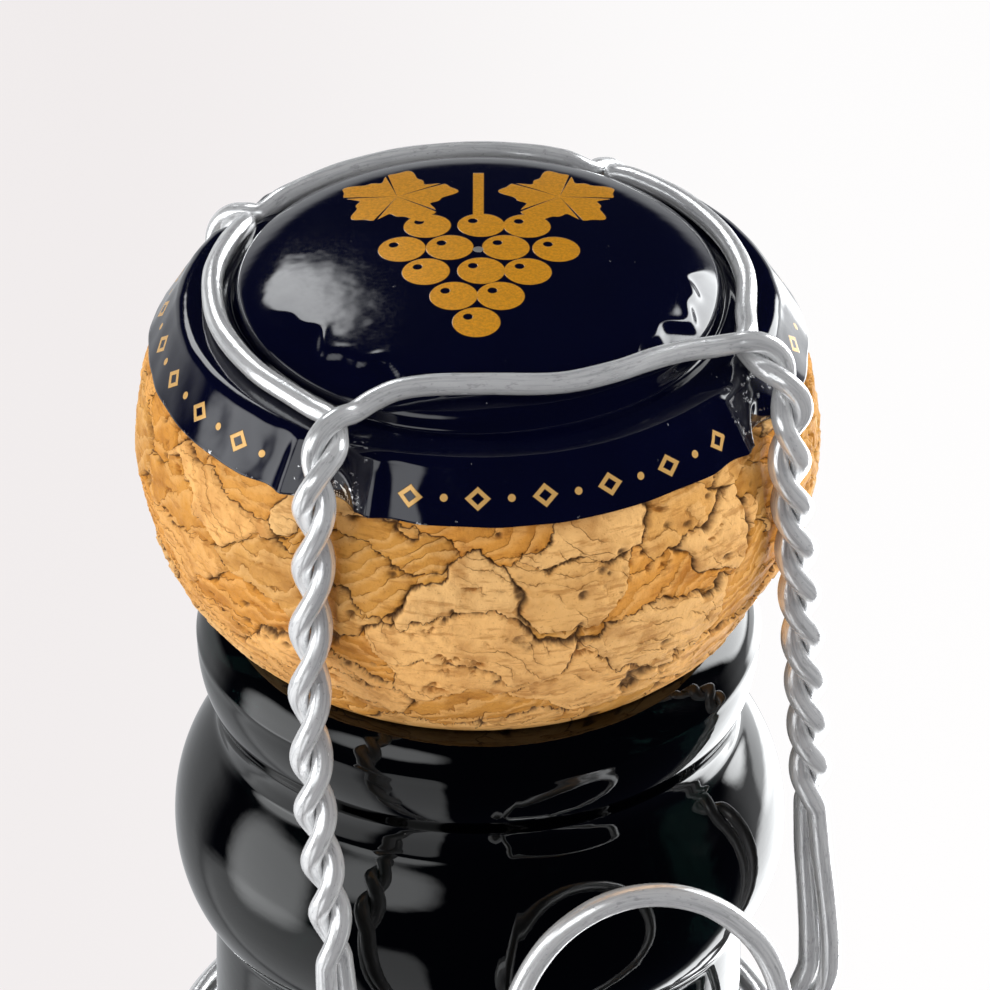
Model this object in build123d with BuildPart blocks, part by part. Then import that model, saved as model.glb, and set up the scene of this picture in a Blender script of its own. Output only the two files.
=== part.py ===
from build123d import *
import os
from math import acos, asin, atan2, cos, hypot, pi, radians, sin, sqrt, tan

os.makedirs("parts", exist_ok=True)

# All lengths are in millimetres, +Z is up and the bottle stands on z = 0.
# Heights that end in drop are measured down from the lip, and those that end in rise up from it.

# Bottle body
bottle_height = 300.0
body_radius = 44.0
shoulder_round = 95.0
neck_flare_round = 125.0
glass_wall = 5.0

# Bottle base
punt_height = 32.0
punt_tip_round = 14.0
floor_thickness = 8.0
bearing_width = 3.6
heel_width = 7.0
heel_height = 8.0
floor_corner_round = 4.5

# Bottle neck, reinforcing ring and lip
neck_base_radius = 13.9
neck_base_drop = 53.9
neck_top_radius = 12.6
ring_radius = 14.5
ring_drop = 12.7
ring_upper_round = 8.0
ring_lower_round = 11.0
waist_radius = 12.3
waist_drop = 5.5
lip_radius = 13.25
lip_crease_radius = 12.8
lip_crease_drop = 4.7
lip_edge_round = 2.4
mouth_round = 1.3
bore_radius = 8.75
bore_length = 31.0

# Wine
fill_drop = 75.0
wine_gap = 0.1

# Cork
cork_clearance = 0.1
cork_depth = 25.0
disc_thickness = 6.0
disc_chamfer = 0.5
cork_seat_gap = 0.1
cork_seat_radius = 11.9
cork_widest_radius = 15.86
cork_widest_rise = 8.9
cork_top_rise = 15.3
cork_crown = 1.0
cork_crown_radius = 9.6
cork_rim_round = 1.6
leg_groove_clearance = 0.12

# Cap plate
sheet = 0.25
cap_gap = 0.1
cap_rim_radius = 15.2
cap_rim_rise = 13.2
cap_shoulder_radius = 13.9
cap_shoulder_rise = 15.35
cap_shoulder_round = 0.6
groove_floor_rise = 15.75
groove_inner_radius = 11.35
groove_outer_radius = 12.95
groove_round = 0.3
dome_edge_radius = 10.9
dome_edge_rise = 17.0
dome_edge_round = 0.9
dome_top_rise = 18.4
dent_radius = 1.6
dent_centre_radius = 15.9

# Cage of galvanised wire
wire_diameter = 1.0
belt_diameter = 1.1
wire_clearance = 0.05
strand_gap = 0.08
leg_names = ("front_left", "front_right", "back_right", "back_left")
leg_azimuths_deg = (242.6, 331.2, 63.0, 141.0)
leg_leans_deg = (10.0, 14.0, 4.0, -12.0)
leg_lean_rises = (0.0, 13.9, 0.0, 13.9)
leg_starts_deg = (-20.0, -20.0, 30.0, 30.0)
leg_hands = (1, -1, 1, -1)
leg_half_turns = (9, 10, 9, 9)
front_leg_radius = 16.2
front_leg_bend_radius = 2.8
back_leg_radius = 15.6
back_leg_bend_radius = 2.7
leg_top_rise = 13.9
leg_entry_offset = 0.75
leg_entry_slant = 0.5
leg_entry_swing = 0.6
twist_end_drop = 8.5
twist_slack_share = 0.08
leg_waist_radius = 16.5
bow_drop = 17.0
bow_radius = 16.9
eye_top_drop = 24.5
belt_drop = 27.5
belt_radius = 14.6
eye_clearance = 0.1

# Top wires of the cage
top_wire_radius = 12.2
top_wire_end_radius = 12.45
top_wire_turn_deg = 15.0
top_wire_flatness = 6
front_wire_radius = 10.85
front_wire_rise = 17.75
front_wire_end_radius = 11.85
front_wire_end_rise = 17.2
front_wire_turn_deg = 13.0
front_wire_flatness = 5
top_wire_spans = 4

# Pull loop
loop_azimuth_deg = 296.0
loop_yaw_deg = -18.0
loop_hinge_radius = 17.65
loop_half_width = 6.3
loop_half_height = 8.0
loop_top_drop = 6.5
loop_foot = 0.7
loop_stem_top = 7.6
loop_stem_half_turns = 2
belt_end_bend = 1.5
belt_end_gap = 0.25
belt_spans = 4

lip_top = bottle_height
wire_radius = wire_diameter / 2
belt_wire_radius = belt_diameter / 2
strand_offset = wire_radius + strand_gap / 2
stem_offset = belt_wire_radius + strand_gap / 2
eye_offset = belt_wire_radius + wire_radius + eye_clearance
overrun = wire_diameter
gap_points = 400
tiny = wire_diameter / 1000


def below_lip(drop):
    """Height of a place that lies this far under the lip."""
    return lip_top - drop


def above_lip(rise):
    """Height of a place that lies this far over the lip."""
    return lip_top + rise


# Bottle glass and wine share the hollow's outline

shoulder_sum = shoulder_round + neck_flare_round
shoulder_angle = acos(1 - (body_radius - neck_base_radius) / shoulder_sum)
neck_base = below_lip(neck_base_drop)
body_top = neck_base - shoulder_sum * sin(shoulder_angle)
shoulder_turn_radius = body_radius - shoulder_round * (1 - cos(shoulder_angle))
shoulder_turn_height = body_top + shoulder_round * sin(shoulder_angle)
shoulder_turn = (shoulder_turn_radius, shoulder_turn_height)
shoulder_way = (-sin(shoulder_angle), cos(shoulder_angle))
bearing_outer = body_radius - heel_width
bearing_inner = bearing_outer - bearing_width
punt_centre = punt_height - punt_tip_round
punt_slope = atan2(punt_centre, bearing_inner) + asin(punt_tip_round / hypot(punt_centre, bearing_inner))


def punt_side(thickness, radius):
    """Height of the punt's conical side at a radius, with this thickness of glass over it."""
    tip = punt_tip_round + thickness
    return punt_centre + (tip - radius * sin(punt_slope)) / cos(punt_slope)


def punt_tangent(thickness):
    """Point where the punt's round tip meets its conical side."""
    tip = punt_tip_round + thickness
    return (tip * sin(punt_slope), punt_centre + tip * cos(punt_slope))


def hollow_side(inset):
    """Lines of the hollow's side from its floor corner to the neck, inset from the glass."""
    wall = glass_wall + inset
    floor = floor_thickness + inset
    side = body_radius - wall
    turn = (
        shoulder_turn_radius - wall * cos(shoulder_angle),
        shoulder_turn_height - wall * sin(shoulder_angle),
    )
    tip = (0, punt_centre + punt_tip_round + floor)
    Line(punt_tangent(floor), (side, punt_side(floor, side)))
    Line((side, punt_side(floor, side)), (side, body_top))
    TangentArc((side, body_top), turn, tangent=(0, 1))
    TangentArc(turn, (neck_base_radius - wall, neck_base), tangent=shoulder_way)
    ThreePointArc(
        tip,
        (
            (punt_tip_round + floor) * sin(punt_slope / 2),
            punt_centre + (punt_tip_round + floor) * cos(punt_slope / 2),
        ),
        punt_tangent(floor),
    )
    return tip


def floor_corner(sketch, inset):
    """The corner where the hollow's side meets its floor."""
    side = body_radius - glass_wall - inset
    height = punt_side(floor_thickness + inset, side)
    return sketch.vertices().sort_by_distance((side, height))[0]


ring_centre = below_lip(ring_drop)
ring_foot = ring_centre - sqrt(ring_lower_round**2 - (neck_top_radius - ring_radius + ring_lower_round) ** 2)
ring_head = ring_centre + sqrt(ring_upper_round**2 - (waist_radius - ring_radius + ring_upper_round) ** 2)
ring_head_angle = atan2(ring_head - ring_centre, waist_radius - ring_radius + ring_upper_round)
ring_foot_angle = atan2(ring_centre - ring_foot, neck_top_radius - ring_radius + ring_lower_round)

with BuildPart() as bottle_glass:
    with BuildSketch(Plane.XZ) as glass_section:
        with BuildLine():
            # Outside, from the punt's tip round the base and up to the lip
            ThreePointArc(
                (0, punt_height),
                (punt_tip_round * sin(punt_slope / 2), punt_centre + punt_tip_round * cos(punt_slope / 2)),
                punt_tangent(0),
            )
            Line(punt_tangent(0), (bearing_inner, 0))
            Line((bearing_inner, 0), (bearing_outer, 0))
            TangentArc((body_radius, heel_height), (bearing_outer, 0), tangent=(0, -1))
            Line((body_radius, heel_height), (body_radius, body_top))
            TangentArc((body_radius, body_top), shoulder_turn, tangent=(0, 1))
            TangentArc(shoulder_turn, (neck_base_radius, neck_base), tangent=shoulder_way)
            Line((neck_base_radius, neck_base), (neck_top_radius, below_lip(belt_drop)))
            Line((neck_top_radius, below_lip(belt_drop)), (neck_top_radius, ring_foot))
            ThreePointArc(
                (neck_top_radius, ring_foot),
                (
                    ring_radius - ring_lower_round * (1 - cos(ring_foot_angle / 2)),
                    ring_centre - ring_lower_round * sin(ring_foot_angle / 2),
                ),
                (ring_radius, ring_centre),
            )
            ThreePointArc(
                (ring_radius, ring_centre),
                (
                    ring_radius - ring_upper_round * (1 - cos(ring_head_angle / 2)),
                    ring_centre + ring_upper_round * sin(ring_head_angle / 2),
                ),
                (waist_radius, ring_head),
            )
            Line((waist_radius, ring_head), (waist_radius, below_lip(waist_drop)))
            Line((waist_radius, below_lip(waist_drop)), (lip_crease_radius, below_lip(lip_crease_drop)))
            TangentArc(
                (lip_radius, below_lip(lip_edge_round)),
                (lip_crease_radius, below_lip(lip_crease_drop)),
                tangent=(0, -1),
            )
            TangentArc(
                (lip_radius, below_lip(lip_edge_round)),
                (lip_radius - lip_edge_round, lip_top),
                tangent=(0, 1),
            )
            Line((lip_radius - lip_edge_round, lip_top), (bore_radius + mouth_round, lip_top))
            # Inside, from the mouth down to the floor
            TangentArc(
                (bore_radius + mouth_round, lip_top), (bore_radius, below_lip(mouth_round)), tangent=(-1, 0)
            )
            Line((bore_radius, below_lip(mouth_round)), (bore_radius, below_lip(bore_length)))
            Line((bore_radius, below_lip(bore_length)), (neck_base_radius - glass_wall, neck_base))
            floor_tip = hollow_side(0)
            Line(floor_tip, (0, punt_height))
        make_face()
        fillet(floor_corner(glass_section, 0), floor_corner_round)
    revolve(axis=Axis.Z)
bottle_glass.part.label = "bottle_glass"
export_step(bottle_glass.part, "parts/bottle_glass.step")

with BuildPart() as wine:
    with BuildSketch(Plane.XZ) as wine_section:
        with BuildLine():
            wine_tip = hollow_side(wine_gap)
            Line((neck_base_radius - glass_wall - wine_gap, neck_base), (0, neck_base))
            Line((0, neck_base), wine_tip)
        make_face()
        fillet(floor_corner(wine_section, wine_gap), floor_corner_round - wine_gap)
    revolve(axis=Axis.Z)
    split(bisect_by=Plane.XY.offset(below_lip(fill_drop)), keep=Keep.BOTTOM)
wine.part.label = "wine"
export_step(wine.part, "parts/wine.step")

# Routes of wires: every wire is one unbroken round tube along arcs that run on from each other


def outward(azimuth):
    """Unit vector away from the bottle's axis at an azimuth in degrees."""
    return Vector(cos(radians(azimuth)), sin(radians(azimuth)), 0)


def around(azimuth):
    """Unit vector round the bottle, counter-clockwise from above."""
    return Vector(-sin(radians(azimuth)), cos(radians(azimuth)), 0)


def polar(radius, azimuth, height):
    """Point at a radius, an azimuth in degrees and a height."""
    return outward(azimuth) * radius + Vector(0, 0, height)


def ease(share):
    """Share of the way gone, starting and ending level, and held at 0 and 1 outside."""
    held = min(max(share, 0), 1)
    return held * held * (3 - 2 * held)


def between(start, end, share):
    """Value on the way from one to another."""
    return start + (end - start) * share


def arc_or_line(start, way, end):
    """One arc that leaves a point along a way, or a line where the end lies straight on."""
    chord = end - start
    if way.cross(chord).length < tiny * chord.length:
        Line(start, end)
    else:
        TangentArc(start, end, tangent=way)


def joined_arcs(start, way, end, end_way):
    """Two arcs that run on from each other, from one point and way to the next."""
    chord = end - start
    turn = 2 * (1 - way.dot(end_way))
    reach = chord.dot(way + end_way)
    if turn < tiny:
        length = chord.dot(chord) / (2 * reach)
    else:
        length = (sqrt(reach**2 + turn * chord.dot(chord)) - reach) / turn
    first = start + way * length
    last = end - end_way * length
    middle = (first + last) / 2
    arc_or_line(start, way, middle)
    arc_or_line(middle, (last - first).normalized(), end)


def wire_route(stations):
    """Route through stations, each a point and the way on from it."""
    with BuildLine() as route:
        for (start, way), (end, end_way) in zip(stations, stations[1:]):
            joined_arcs(start, way, end, end_way)
    return route


def wire_tube(route, diameter):
    """Round wire along a route."""
    with BuildPart() as tube:
        with BuildSketch(Plane(origin=route.line @ 0, z_dir=route.line % 0)):
            Circle(diameter / 2)
        sweep(path=route.line)
    return tube.part


def turned_back(stations):
    """The same stations, met from the other end."""
    return [(point, way * -1) for point, way in reversed(stations)]


def least_gap(first, second, diameter):
    """Least gap between two strands, measured on points along their routes."""
    count = gap_points
    one = [first.line @ (step / count) for step in range(count + 1)]
    other = [second.line @ (step / count) for step in range(count + 1)]
    return min((p - q).length for p in one for q in other) - diameter


# Middle line of each leg of the cage, which the cap's dents and the cork's grooves follow

leg_radii = (front_leg_radius, front_leg_radius, back_leg_radius, back_leg_radius)
leg_bend_radii = (
    front_leg_bend_radius,
    front_leg_bend_radius,
    back_leg_bend_radius,
    back_leg_bend_radius,
)
leg_top = above_lip(leg_top_rise)


def bend_length(leg):
    """Length of a leg's bend over the cap's shoulder."""
    return leg_bend_radii[leg] * radians(90 - leg_starts_deg[leg])


def leg_line_radius(leg, height):
    """Radius of a leg's middle line: straight down past the cork, bowed over the ring, in to the belt."""
    past_cork = ease((leg_top - height) / (leg_top_rise + twist_end_drop))
    over_ring = ease((below_lip(twist_end_drop) - height) / (bow_drop - twist_end_drop))
    to_belt = ease((below_lip(bow_drop) - height) / (eye_top_drop - bow_drop))
    return (
        between(leg_radii[leg], leg_waist_radius, past_cork)
        + (bow_radius - leg_waist_radius) * over_ring
        + (belt_radius - bow_radius) * to_belt
    )


def leg_line(leg, run):
    """Point of a leg's middle line after a run from its top, where it bends over the cap's shoulder."""
    azimuth = leg_azimuths_deg[leg]
    if run < bend_length(leg):
        angle = radians(leg_starts_deg[leg]) + run / leg_bend_radii[leg]
        radius = leg_radii[leg] - leg_bend_radii[leg] * (1 - sin(angle))
        return polar(radius, azimuth, leg_top + leg_bend_radii[leg] * cos(angle))
    height = leg_top - (run - bend_length(leg))
    lean_top = above_lip(leg_lean_rises[leg])
    lean = leg_leans_deg[leg] * ease((lean_top - height) / (lean_top - below_lip(belt_drop)))
    return polar(leg_line_radius(leg, height), azimuth + lean, height)


def run_to(leg, height):
    """Run of a leg from its top to a height below its bend."""
    return bend_length(leg) + leg_top - height


def leg_groove(leg, diameter):
    """The round channel that a leg needs where it passes the cork."""
    stations = []
    for height in (leg_top, between(leg_top, lip_top, 1 / 3), between(leg_top, lip_top, 2 / 3), lip_top):
        run = run_to(leg, height)
        way = (leg_line(leg, run + tiny) - leg_line(leg, run)).normalized()
        stations.append((leg_line(leg, run), way))
    return wire_tube(wire_route(stations), diameter)


# Cap plate: one pressed sheet, whose skirt the four legs of the cage have dented

skirt_angle = atan2(cap_rim_radius - cap_shoulder_radius, cap_shoulder_rise - cap_rim_rise)


def skirt_radius(inset, rise):
    """Radius of the skirt at a height, inset from its outside."""
    return cap_rim_radius - inset / cos(skirt_angle) - (rise - cap_rim_rise) * tan(skirt_angle)


def cap_form(inset):
    """The solid inside the cap's surface, inset from its outside, with the legs' dents."""
    rim = (skirt_radius(inset, cap_rim_rise), above_lip(cap_rim_rise))
    shoulder = (skirt_radius(inset, cap_shoulder_rise - inset), above_lip(cap_shoulder_rise - inset))
    groove_edge = (groove_outer_radius - inset, above_lip(groove_floor_rise - inset))
    dome_foot = (groove_inner_radius - inset, above_lip(groove_floor_rise - inset))
    dome_edge = (dome_edge_radius - inset, above_lip(dome_edge_rise - inset))
    dome_top = (0, above_lip(dome_top_rise - inset))
    with BuildPart() as form:
        with BuildSketch(Plane.XZ) as section:
            with BuildLine():
                Polyline((0, above_lip(cap_rim_rise)), rim, shoulder, groove_edge, dome_foot, dome_edge)
                TangentArc(dome_top, dome_edge, tangent=(1, 0))
                Line(dome_top, (0, above_lip(cap_rim_rise)))
            make_face()
            fillet(section.vertices().sort_by_distance(shoulder)[0], cap_shoulder_round - inset)
            fillet(section.vertices().sort_by_distance(dome_foot)[0], groove_round + inset)
            fillet(section.vertices().sort_by_distance(dome_edge)[0], dome_edge_round - inset)
        revolve(axis=Axis.Z)
        with BuildSketch(Plane.XY.offset(above_lip(cap_rim_rise) - overrun)):
            for azimuth in leg_azimuths_deg:
                with PolarLocations(dent_centre_radius, 1, azimuth):
                    Circle(dent_radius + inset)
        extrude(amount=dome_top_rise - cap_rim_rise, mode=Mode.SUBTRACT)
    return form.part


with BuildPart() as cap_plate:
    add(cap_form(0))
    add(cap_form(sheet), mode=Mode.SUBTRACT)
cap_plate.part.label = "cap_plate"
export_step(cap_plate.part, "parts/cap_plate.step")

# Cork: pressed granules with two discs of whole cork glued under them

cork_radius = bore_radius - cork_clearance
cork_inset = sheet + cap_gap
cork_widest = (cork_widest_radius, above_lip(cork_widest_rise))
cork_rim = (skirt_radius(cork_inset, cap_rim_rise), above_lip(cap_rim_rise))
cork_shoulder = (skirt_radius(cork_inset, cork_top_rise), above_lip(cork_top_rise))
cork_bottom = below_lip(cork_depth)
granule_bottom = cork_bottom + 2 * disc_thickness
cork_seat = above_lip(cork_seat_gap)

with BuildPart() as cork_body:
    with BuildSketch(Plane.XZ) as cork_section:
        with BuildLine():
            Polyline(
                (0, above_lip(cork_top_rise + cork_crown)),
                (0, granule_bottom),
                (cork_radius, granule_bottom),
                (cork_radius, cork_seat),
                (cork_seat_radius, cork_seat),
            )
            TangentArc(cork_widest, (cork_seat_radius, cork_seat), tangent=(0, -1))
            TangentArc(cork_widest, cork_rim, tangent=(0, 1))
            Polyline(cork_rim, cork_shoulder, (cork_crown_radius, above_lip(cork_top_rise)))
            TangentArc(
                (0, above_lip(cork_top_rise + cork_crown)),
                (cork_crown_radius, above_lip(cork_top_rise)),
                tangent=(1, 0),
            )
        make_face()
        fillet(cork_section.vertices().sort_by_distance(cork_shoulder)[0], cork_rim_round)
    revolve(axis=Axis.Z)
    # The legs press a groove into the widest part, and the cap's dents press in over it
    for leg in range(len(leg_names)):
        groove = leg_groove(leg, 2 * (strand_offset + wire_radius + leg_groove_clearance))
        add(groove, mode=Mode.SUBTRACT)
    with BuildSketch(Plane.XY.offset(above_lip(cap_rim_rise) - cap_gap)):
        for azimuth in leg_azimuths_deg:
            with PolarLocations(dent_centre_radius, 1, azimuth):
                Circle(dent_radius + cork_inset)
    extrude(amount=cork_top_rise, mode=Mode.SUBTRACT)
cork_body.part.label = "cork_body"
export_step(cork_body.part, "parts/cork_body.step")

with BuildPart() as cork_disc_upper:
    with BuildSketch(Plane.XY.offset(cork_bottom + disc_thickness)):
        Circle(cork_radius)
    extrude(amount=disc_thickness)
cork_disc_upper.part.label = "cork_disc_upper"
export_step(cork_disc_upper.part, "parts/cork_disc_upper.step")

with BuildPart() as cork_disc_lower:
    with BuildSketch(Plane.XY.offset(cork_bottom)):
        Circle(cork_radius)
    extrude(amount=disc_thickness)
    chamfer(cork_disc_lower.edges().group_by(Axis.Z)[0], disc_chamfer)
cork_disc_lower.part.label = "cork_disc_lower"
export_step(cork_disc_lower.part, "parts/cork_disc_lower.step")

# Cage: four legs of two twisted strands, each leg one wire with its eye round the belt


def frame_on_leg(leg, run):
    """Point on a leg's middle line, the way along it, the way across and the way outward."""
    here = leg_line(leg, run)
    along = (leg_line(leg, run + tiny) - here).normalized()
    flat = Vector(here.X, here.Y, 0).normalized()
    across = Vector(-flat.Y, flat.X, 0)
    return here, along, across, along.cross(across)


def off_line(frame, offset, angle):
    """Place of a strand that lies off a middle line, at an angle round it."""
    here, along, across, out = frame
    return here + (across * cos(angle) + out * sin(angle)) * offset


def twisted_station(frame, angle, offset, swing):
    """Station of one strand of a twisted pair, whose way swings aside as it winds."""
    here, along, across, out = frame
    way = along + (out * cos(angle) - across * sin(angle)) * swing
    return off_line(frame, offset, angle), way.normalized()


def half_turn_swing(offset, length):
    """Swing at each half turn with which a strand, on two arcs, keeps its offset halfway to the next."""
    return 4 * offset / length


def quarter_turn_swing(offset, length):
    """Swing of a true helix, for a station a quarter turn from the next."""
    return pi * offset / length


def leg_stations(leg, first_angle):
    """Stations of one strand of a leg, from the cap's shoulder down to its eye round the belt."""
    half_turns = leg_half_turns[leg]
    hand = leg_hands[leg]
    twist_length = run_to(leg, below_lip(twist_end_drop))

    def run_at(turn):
        share = turn / half_turns
        return twist_length * (share + twist_slack_share * share * (1 - share))

    def loose_point(height):
        turned = ease((below_lip(twist_end_drop) - height) / (eye_top_drop - twist_end_drop))
        opening = ease((below_lip(bow_drop) - height) / (eye_top_drop - bow_drop))
        angle = first_angle + hand * pi * (half_turns + turned / 2)
        offset = between(strand_offset, eye_offset, opening)
        return off_line(frame_on_leg(leg, run_to(leg, height)), offset, angle)

    point, way = twisted_station(frame_on_leg(leg, 0), first_angle, leg_entry_offset, hand * leg_entry_swing)
    inward = (leg_line(leg, 0) - point).normalized()
    stations = [(point, (way + inward * leg_entry_slant).normalized())]
    for turn in [1 / 2] + list(range(1, half_turns + 1)):
        length = run_at(turn + 1 / 2) - run_at(turn - 1 / 2)
        swing = quarter_turn_swing if turn < 1 else half_turn_swing
        frame = frame_on_leg(leg, run_at(turn))
        angle = first_angle + hand * pi * turn
        stations.append(twisted_station(frame, angle, strand_offset, hand * swing(strand_offset, length)))
    bow = below_lip(bow_drop)
    eye_top = below_lip(eye_top_drop)
    for height in (bow, (bow + eye_top) / 2, eye_top, below_lip(belt_drop)):
        way = (loose_point(height - tiny) - loose_point(height + tiny)).normalized()
        stations.append((loose_point(height), way))
    return stations


leg_tops = []
for leg, name in enumerate(leg_names):
    left = leg_stations(leg, pi)
    right = leg_stations(leg, 0)
    leg_tops.append((left[0], right[0]))
    leg_wire = wire_tube(wire_route(left + turned_back(right)), wire_diameter)
    leg_wire.label = "cage_leg_" + name
    export_step(leg_wire, "parts/" + leg_wire.label + ".step")
    strand_gap_found = least_gap(wire_route(left), wire_route(right), wire_diameter)
    print(leg_wire.label, "least gap between its strands", strand_gap_found)

# Top wires, each from one leg's right strand round the dome to the next leg's left strand


def top_wire_stations(first, second, azimuths, middle, end, flatness):
    """Stations of a top wire from one leg to the next, as radius and height at its middle and ends."""

    def place(share):
        end_share = abs(2 * share - 1) ** flatness
        radius = between(middle[0], end[0], end_share)
        height = between(middle[1], end[1], end_share)
        return polar(radius, between(azimuths[0], azimuths[1], share), height)

    stations = [(first[0], first[1] * -1)]
    for span in range(top_wire_spans + 1):
        share = span / top_wire_spans
        before = place(max(share - tiny, 0))
        after = place(min(share + tiny, 1))
        stations.append((place(share), (after - before).normalized()))
    return stations + [second]


groove_wire_height = above_lip(groove_floor_rise + wire_radius + wire_clearance)
groove_middle = (top_wire_radius, groove_wire_height)
groove_end = (top_wire_end_radius, groove_wire_height)
front_middle = (front_wire_radius, above_lip(front_wire_rise))
front_end = (front_wire_end_radius, above_lip(front_wire_end_rise))
top_wires = []
for side, name in enumerate(leg_names):
    following = (side + 1) % len(leg_names)
    in_front = name == "front_left"
    turn_deg = front_wire_turn_deg if in_front else top_wire_turn_deg
    first_azimuth = leg_azimuths_deg[side]
    second_azimuth = first_azimuth + (leg_azimuths_deg[following] - first_azimuth) % 360
    stations = top_wire_stations(
        leg_tops[side][1],
        leg_tops[following][0],
        (first_azimuth + turn_deg, second_azimuth - turn_deg),
        front_middle if in_front else groove_middle,
        front_end if in_front else groove_end,
        front_wire_flatness if in_front else top_wire_flatness,
    )
    top_wires.append(wire_tube(wire_route(stations), wire_diameter))
cage_top_wire = Compound(label="cage_top_wire", children=top_wires)
export_step(cage_top_wire, "parts/cage_top_wire.step")

# Belt through the four eyes, with its two ends turned out to the pull loop

belt_height = below_lip(belt_drop)
belt_end_radius = loop_hinge_radius - belt_wire_radius - belt_end_gap
belt_turn_deg = 360 * (stem_offset + belt_end_bend) / (2 * pi * belt_radius)


def belt_end(side):
    """End of the belt beside the loop's foot, and the way out to it."""
    out = outward(loop_azimuth_deg)
    foot = polar(belt_end_radius, loop_azimuth_deg, belt_height)
    return foot + around(loop_azimuth_deg) * (side * stem_offset), out


belt_stations = [(belt_end(1)[0], belt_end(1)[1] * -1)]
for span in range(belt_spans + 1):
    azimuth = loop_azimuth_deg + between(belt_turn_deg, 360 - belt_turn_deg, span / belt_spans)
    belt_stations.append((polar(belt_radius, azimuth, belt_height), around(azimuth)))
belt_stations.append(belt_end(-1))
belt_wire = wire_tube(wire_route(belt_stations), belt_diameter)
belt_wire.label = "belt_wire"
export_step(belt_wire, "parts/belt_wire.step")

# Pull loop: a twisted stem that opens into an oval eye for a finger

loop_foot_point = polar(loop_hinge_radius, loop_azimuth_deg, belt_height)
loop_across = around(loop_azimuth_deg + loop_yaw_deg)
loop_out = outward(loop_azimuth_deg + loop_yaw_deg)
loop_crown = belt_drop - loop_top_drop
loop_middle = loop_crown - loop_half_height


def on_loop(across, up):
    """Point in the loop's own plane, from its hinge."""
    return loop_foot_point + loop_across * across + Vector(0, 0, up)


def frame_on_stem(run):
    """Point on the stem's middle line, the way along it, the way across and the way outward."""
    return on_loop(0, loop_foot + run), Vector(0, 0, 1), loop_across, loop_out


def loop_stem_stations(first_angle):
    """Stations of one strand of the stem, from its foot up."""
    length = (loop_stem_top - loop_foot) / loop_stem_half_turns
    swing = half_turn_swing(stem_offset, length)
    return [
        twisted_station(frame_on_stem(length * turn), first_angle + pi * turn, stem_offset, swing)
        for turn in range(loop_stem_half_turns + 1)
    ]


left_stem = loop_stem_stations(pi)
right_stem = loop_stem_stations(0)
loop_stations = left_stem + [
    (on_loop(-loop_half_width, loop_middle), Vector(0, 0, 1)),
    (on_loop(0, loop_crown), loop_across),
    (on_loop(loop_half_width, loop_middle), Vector(0, 0, -1)),
] + turned_back(right_stem)
belt_loop = wire_tube(wire_route(loop_stations), belt_diameter)
belt_loop.label = "belt_loop"
export_step(belt_loop, "parts/belt_loop.step")
print("loop least gap in its stem", least_gap(wire_route(left_stem), wire_route(right_stem), belt_diameter))
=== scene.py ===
import bpy
import numpy as np
from bpy.props import FloatProperty, FloatVectorProperty, IntProperty, PointerProperty
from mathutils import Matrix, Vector


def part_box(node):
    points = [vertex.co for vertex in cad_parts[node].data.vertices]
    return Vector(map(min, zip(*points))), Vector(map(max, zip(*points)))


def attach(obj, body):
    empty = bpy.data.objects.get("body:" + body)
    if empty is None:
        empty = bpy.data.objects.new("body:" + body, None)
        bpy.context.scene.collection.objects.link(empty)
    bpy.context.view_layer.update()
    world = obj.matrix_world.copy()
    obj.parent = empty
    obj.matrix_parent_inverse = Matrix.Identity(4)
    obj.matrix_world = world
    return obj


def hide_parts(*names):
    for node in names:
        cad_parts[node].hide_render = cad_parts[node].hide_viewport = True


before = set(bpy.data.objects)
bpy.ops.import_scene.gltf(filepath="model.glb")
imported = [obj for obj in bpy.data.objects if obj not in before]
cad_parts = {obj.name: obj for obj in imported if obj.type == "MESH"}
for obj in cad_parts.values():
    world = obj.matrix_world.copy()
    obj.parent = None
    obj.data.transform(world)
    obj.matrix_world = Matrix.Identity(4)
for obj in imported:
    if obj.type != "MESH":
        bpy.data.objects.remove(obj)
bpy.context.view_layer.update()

bl_info = {
    "name": "Champagne bottle",
    "version": (1, 0, 0),
    "blender": (4, 5, 0),
    "location": "3D View > Sidebar > Bottle",
    "description": "Adds a corked champagne bottle with its cap plate, wire cage and pull loop",
    "category": "Add Mesh",
}

# Lengths are millimetres up to where a mesh is made, and a rise is a height over the lip
MM = 0.001
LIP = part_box("bottle_glass")[1].z / MM
RIM_RADIUS, RIM_RISE, DOME_RISE = 15.2, 13.2, 18.4
BELT_RADIUS, BELT_DROP = 14.6, 27.5
# Azimuth of each leg at rises from the cap down to the belt
LEG_TURNS = {
    "front_left": [(20.0, 242.9), (11.0, 243.0), (8.0, 242.5), (2.0, 242.3), (-1.0, 242.7), (-4.0, 243.7),
                   (-7.0, 245.2), (-12.0, 246.8), (-20.0, 250.5), (-27.5, 252.6)],
    "front_right": [(20.0, 335.8), (16.6, 334.6), (14.0, 331.2), (12.0, 330.6), (8.0, 332.6), (4.0, 334.6),
                    (-3.5, 338.2), (-7.0, 339.8), (-13.0, 341.4), (-20.0, 343.5), (-27.5, 345.2)],
    "back_right": [(20.0, 63.0), (4.0, 63.3), (-12.0, 64.8), (-27.5, 67.0)],
    "back_left": [(20.0, 145.8), (16.0, 145.3), (12.0, 143.0), (4.0, 139.5), (-4.0, 136.0), (-16.0, 131.0),
                  (-27.5, 129.0)],
}
LEGS = tuple(LEG_TURNS)
# Azimuth of each leg's dent in the skirt, and the hand of its twist
LEG_AZIMUTHS = {"front_left": 242.9, "front_right": 331.4, "back_right": 63.0, "back_left": 144.5}
LEG_HANDS = {"front_left": 1, "front_right": -1, "back_right": 1, "back_left": -1}
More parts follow.
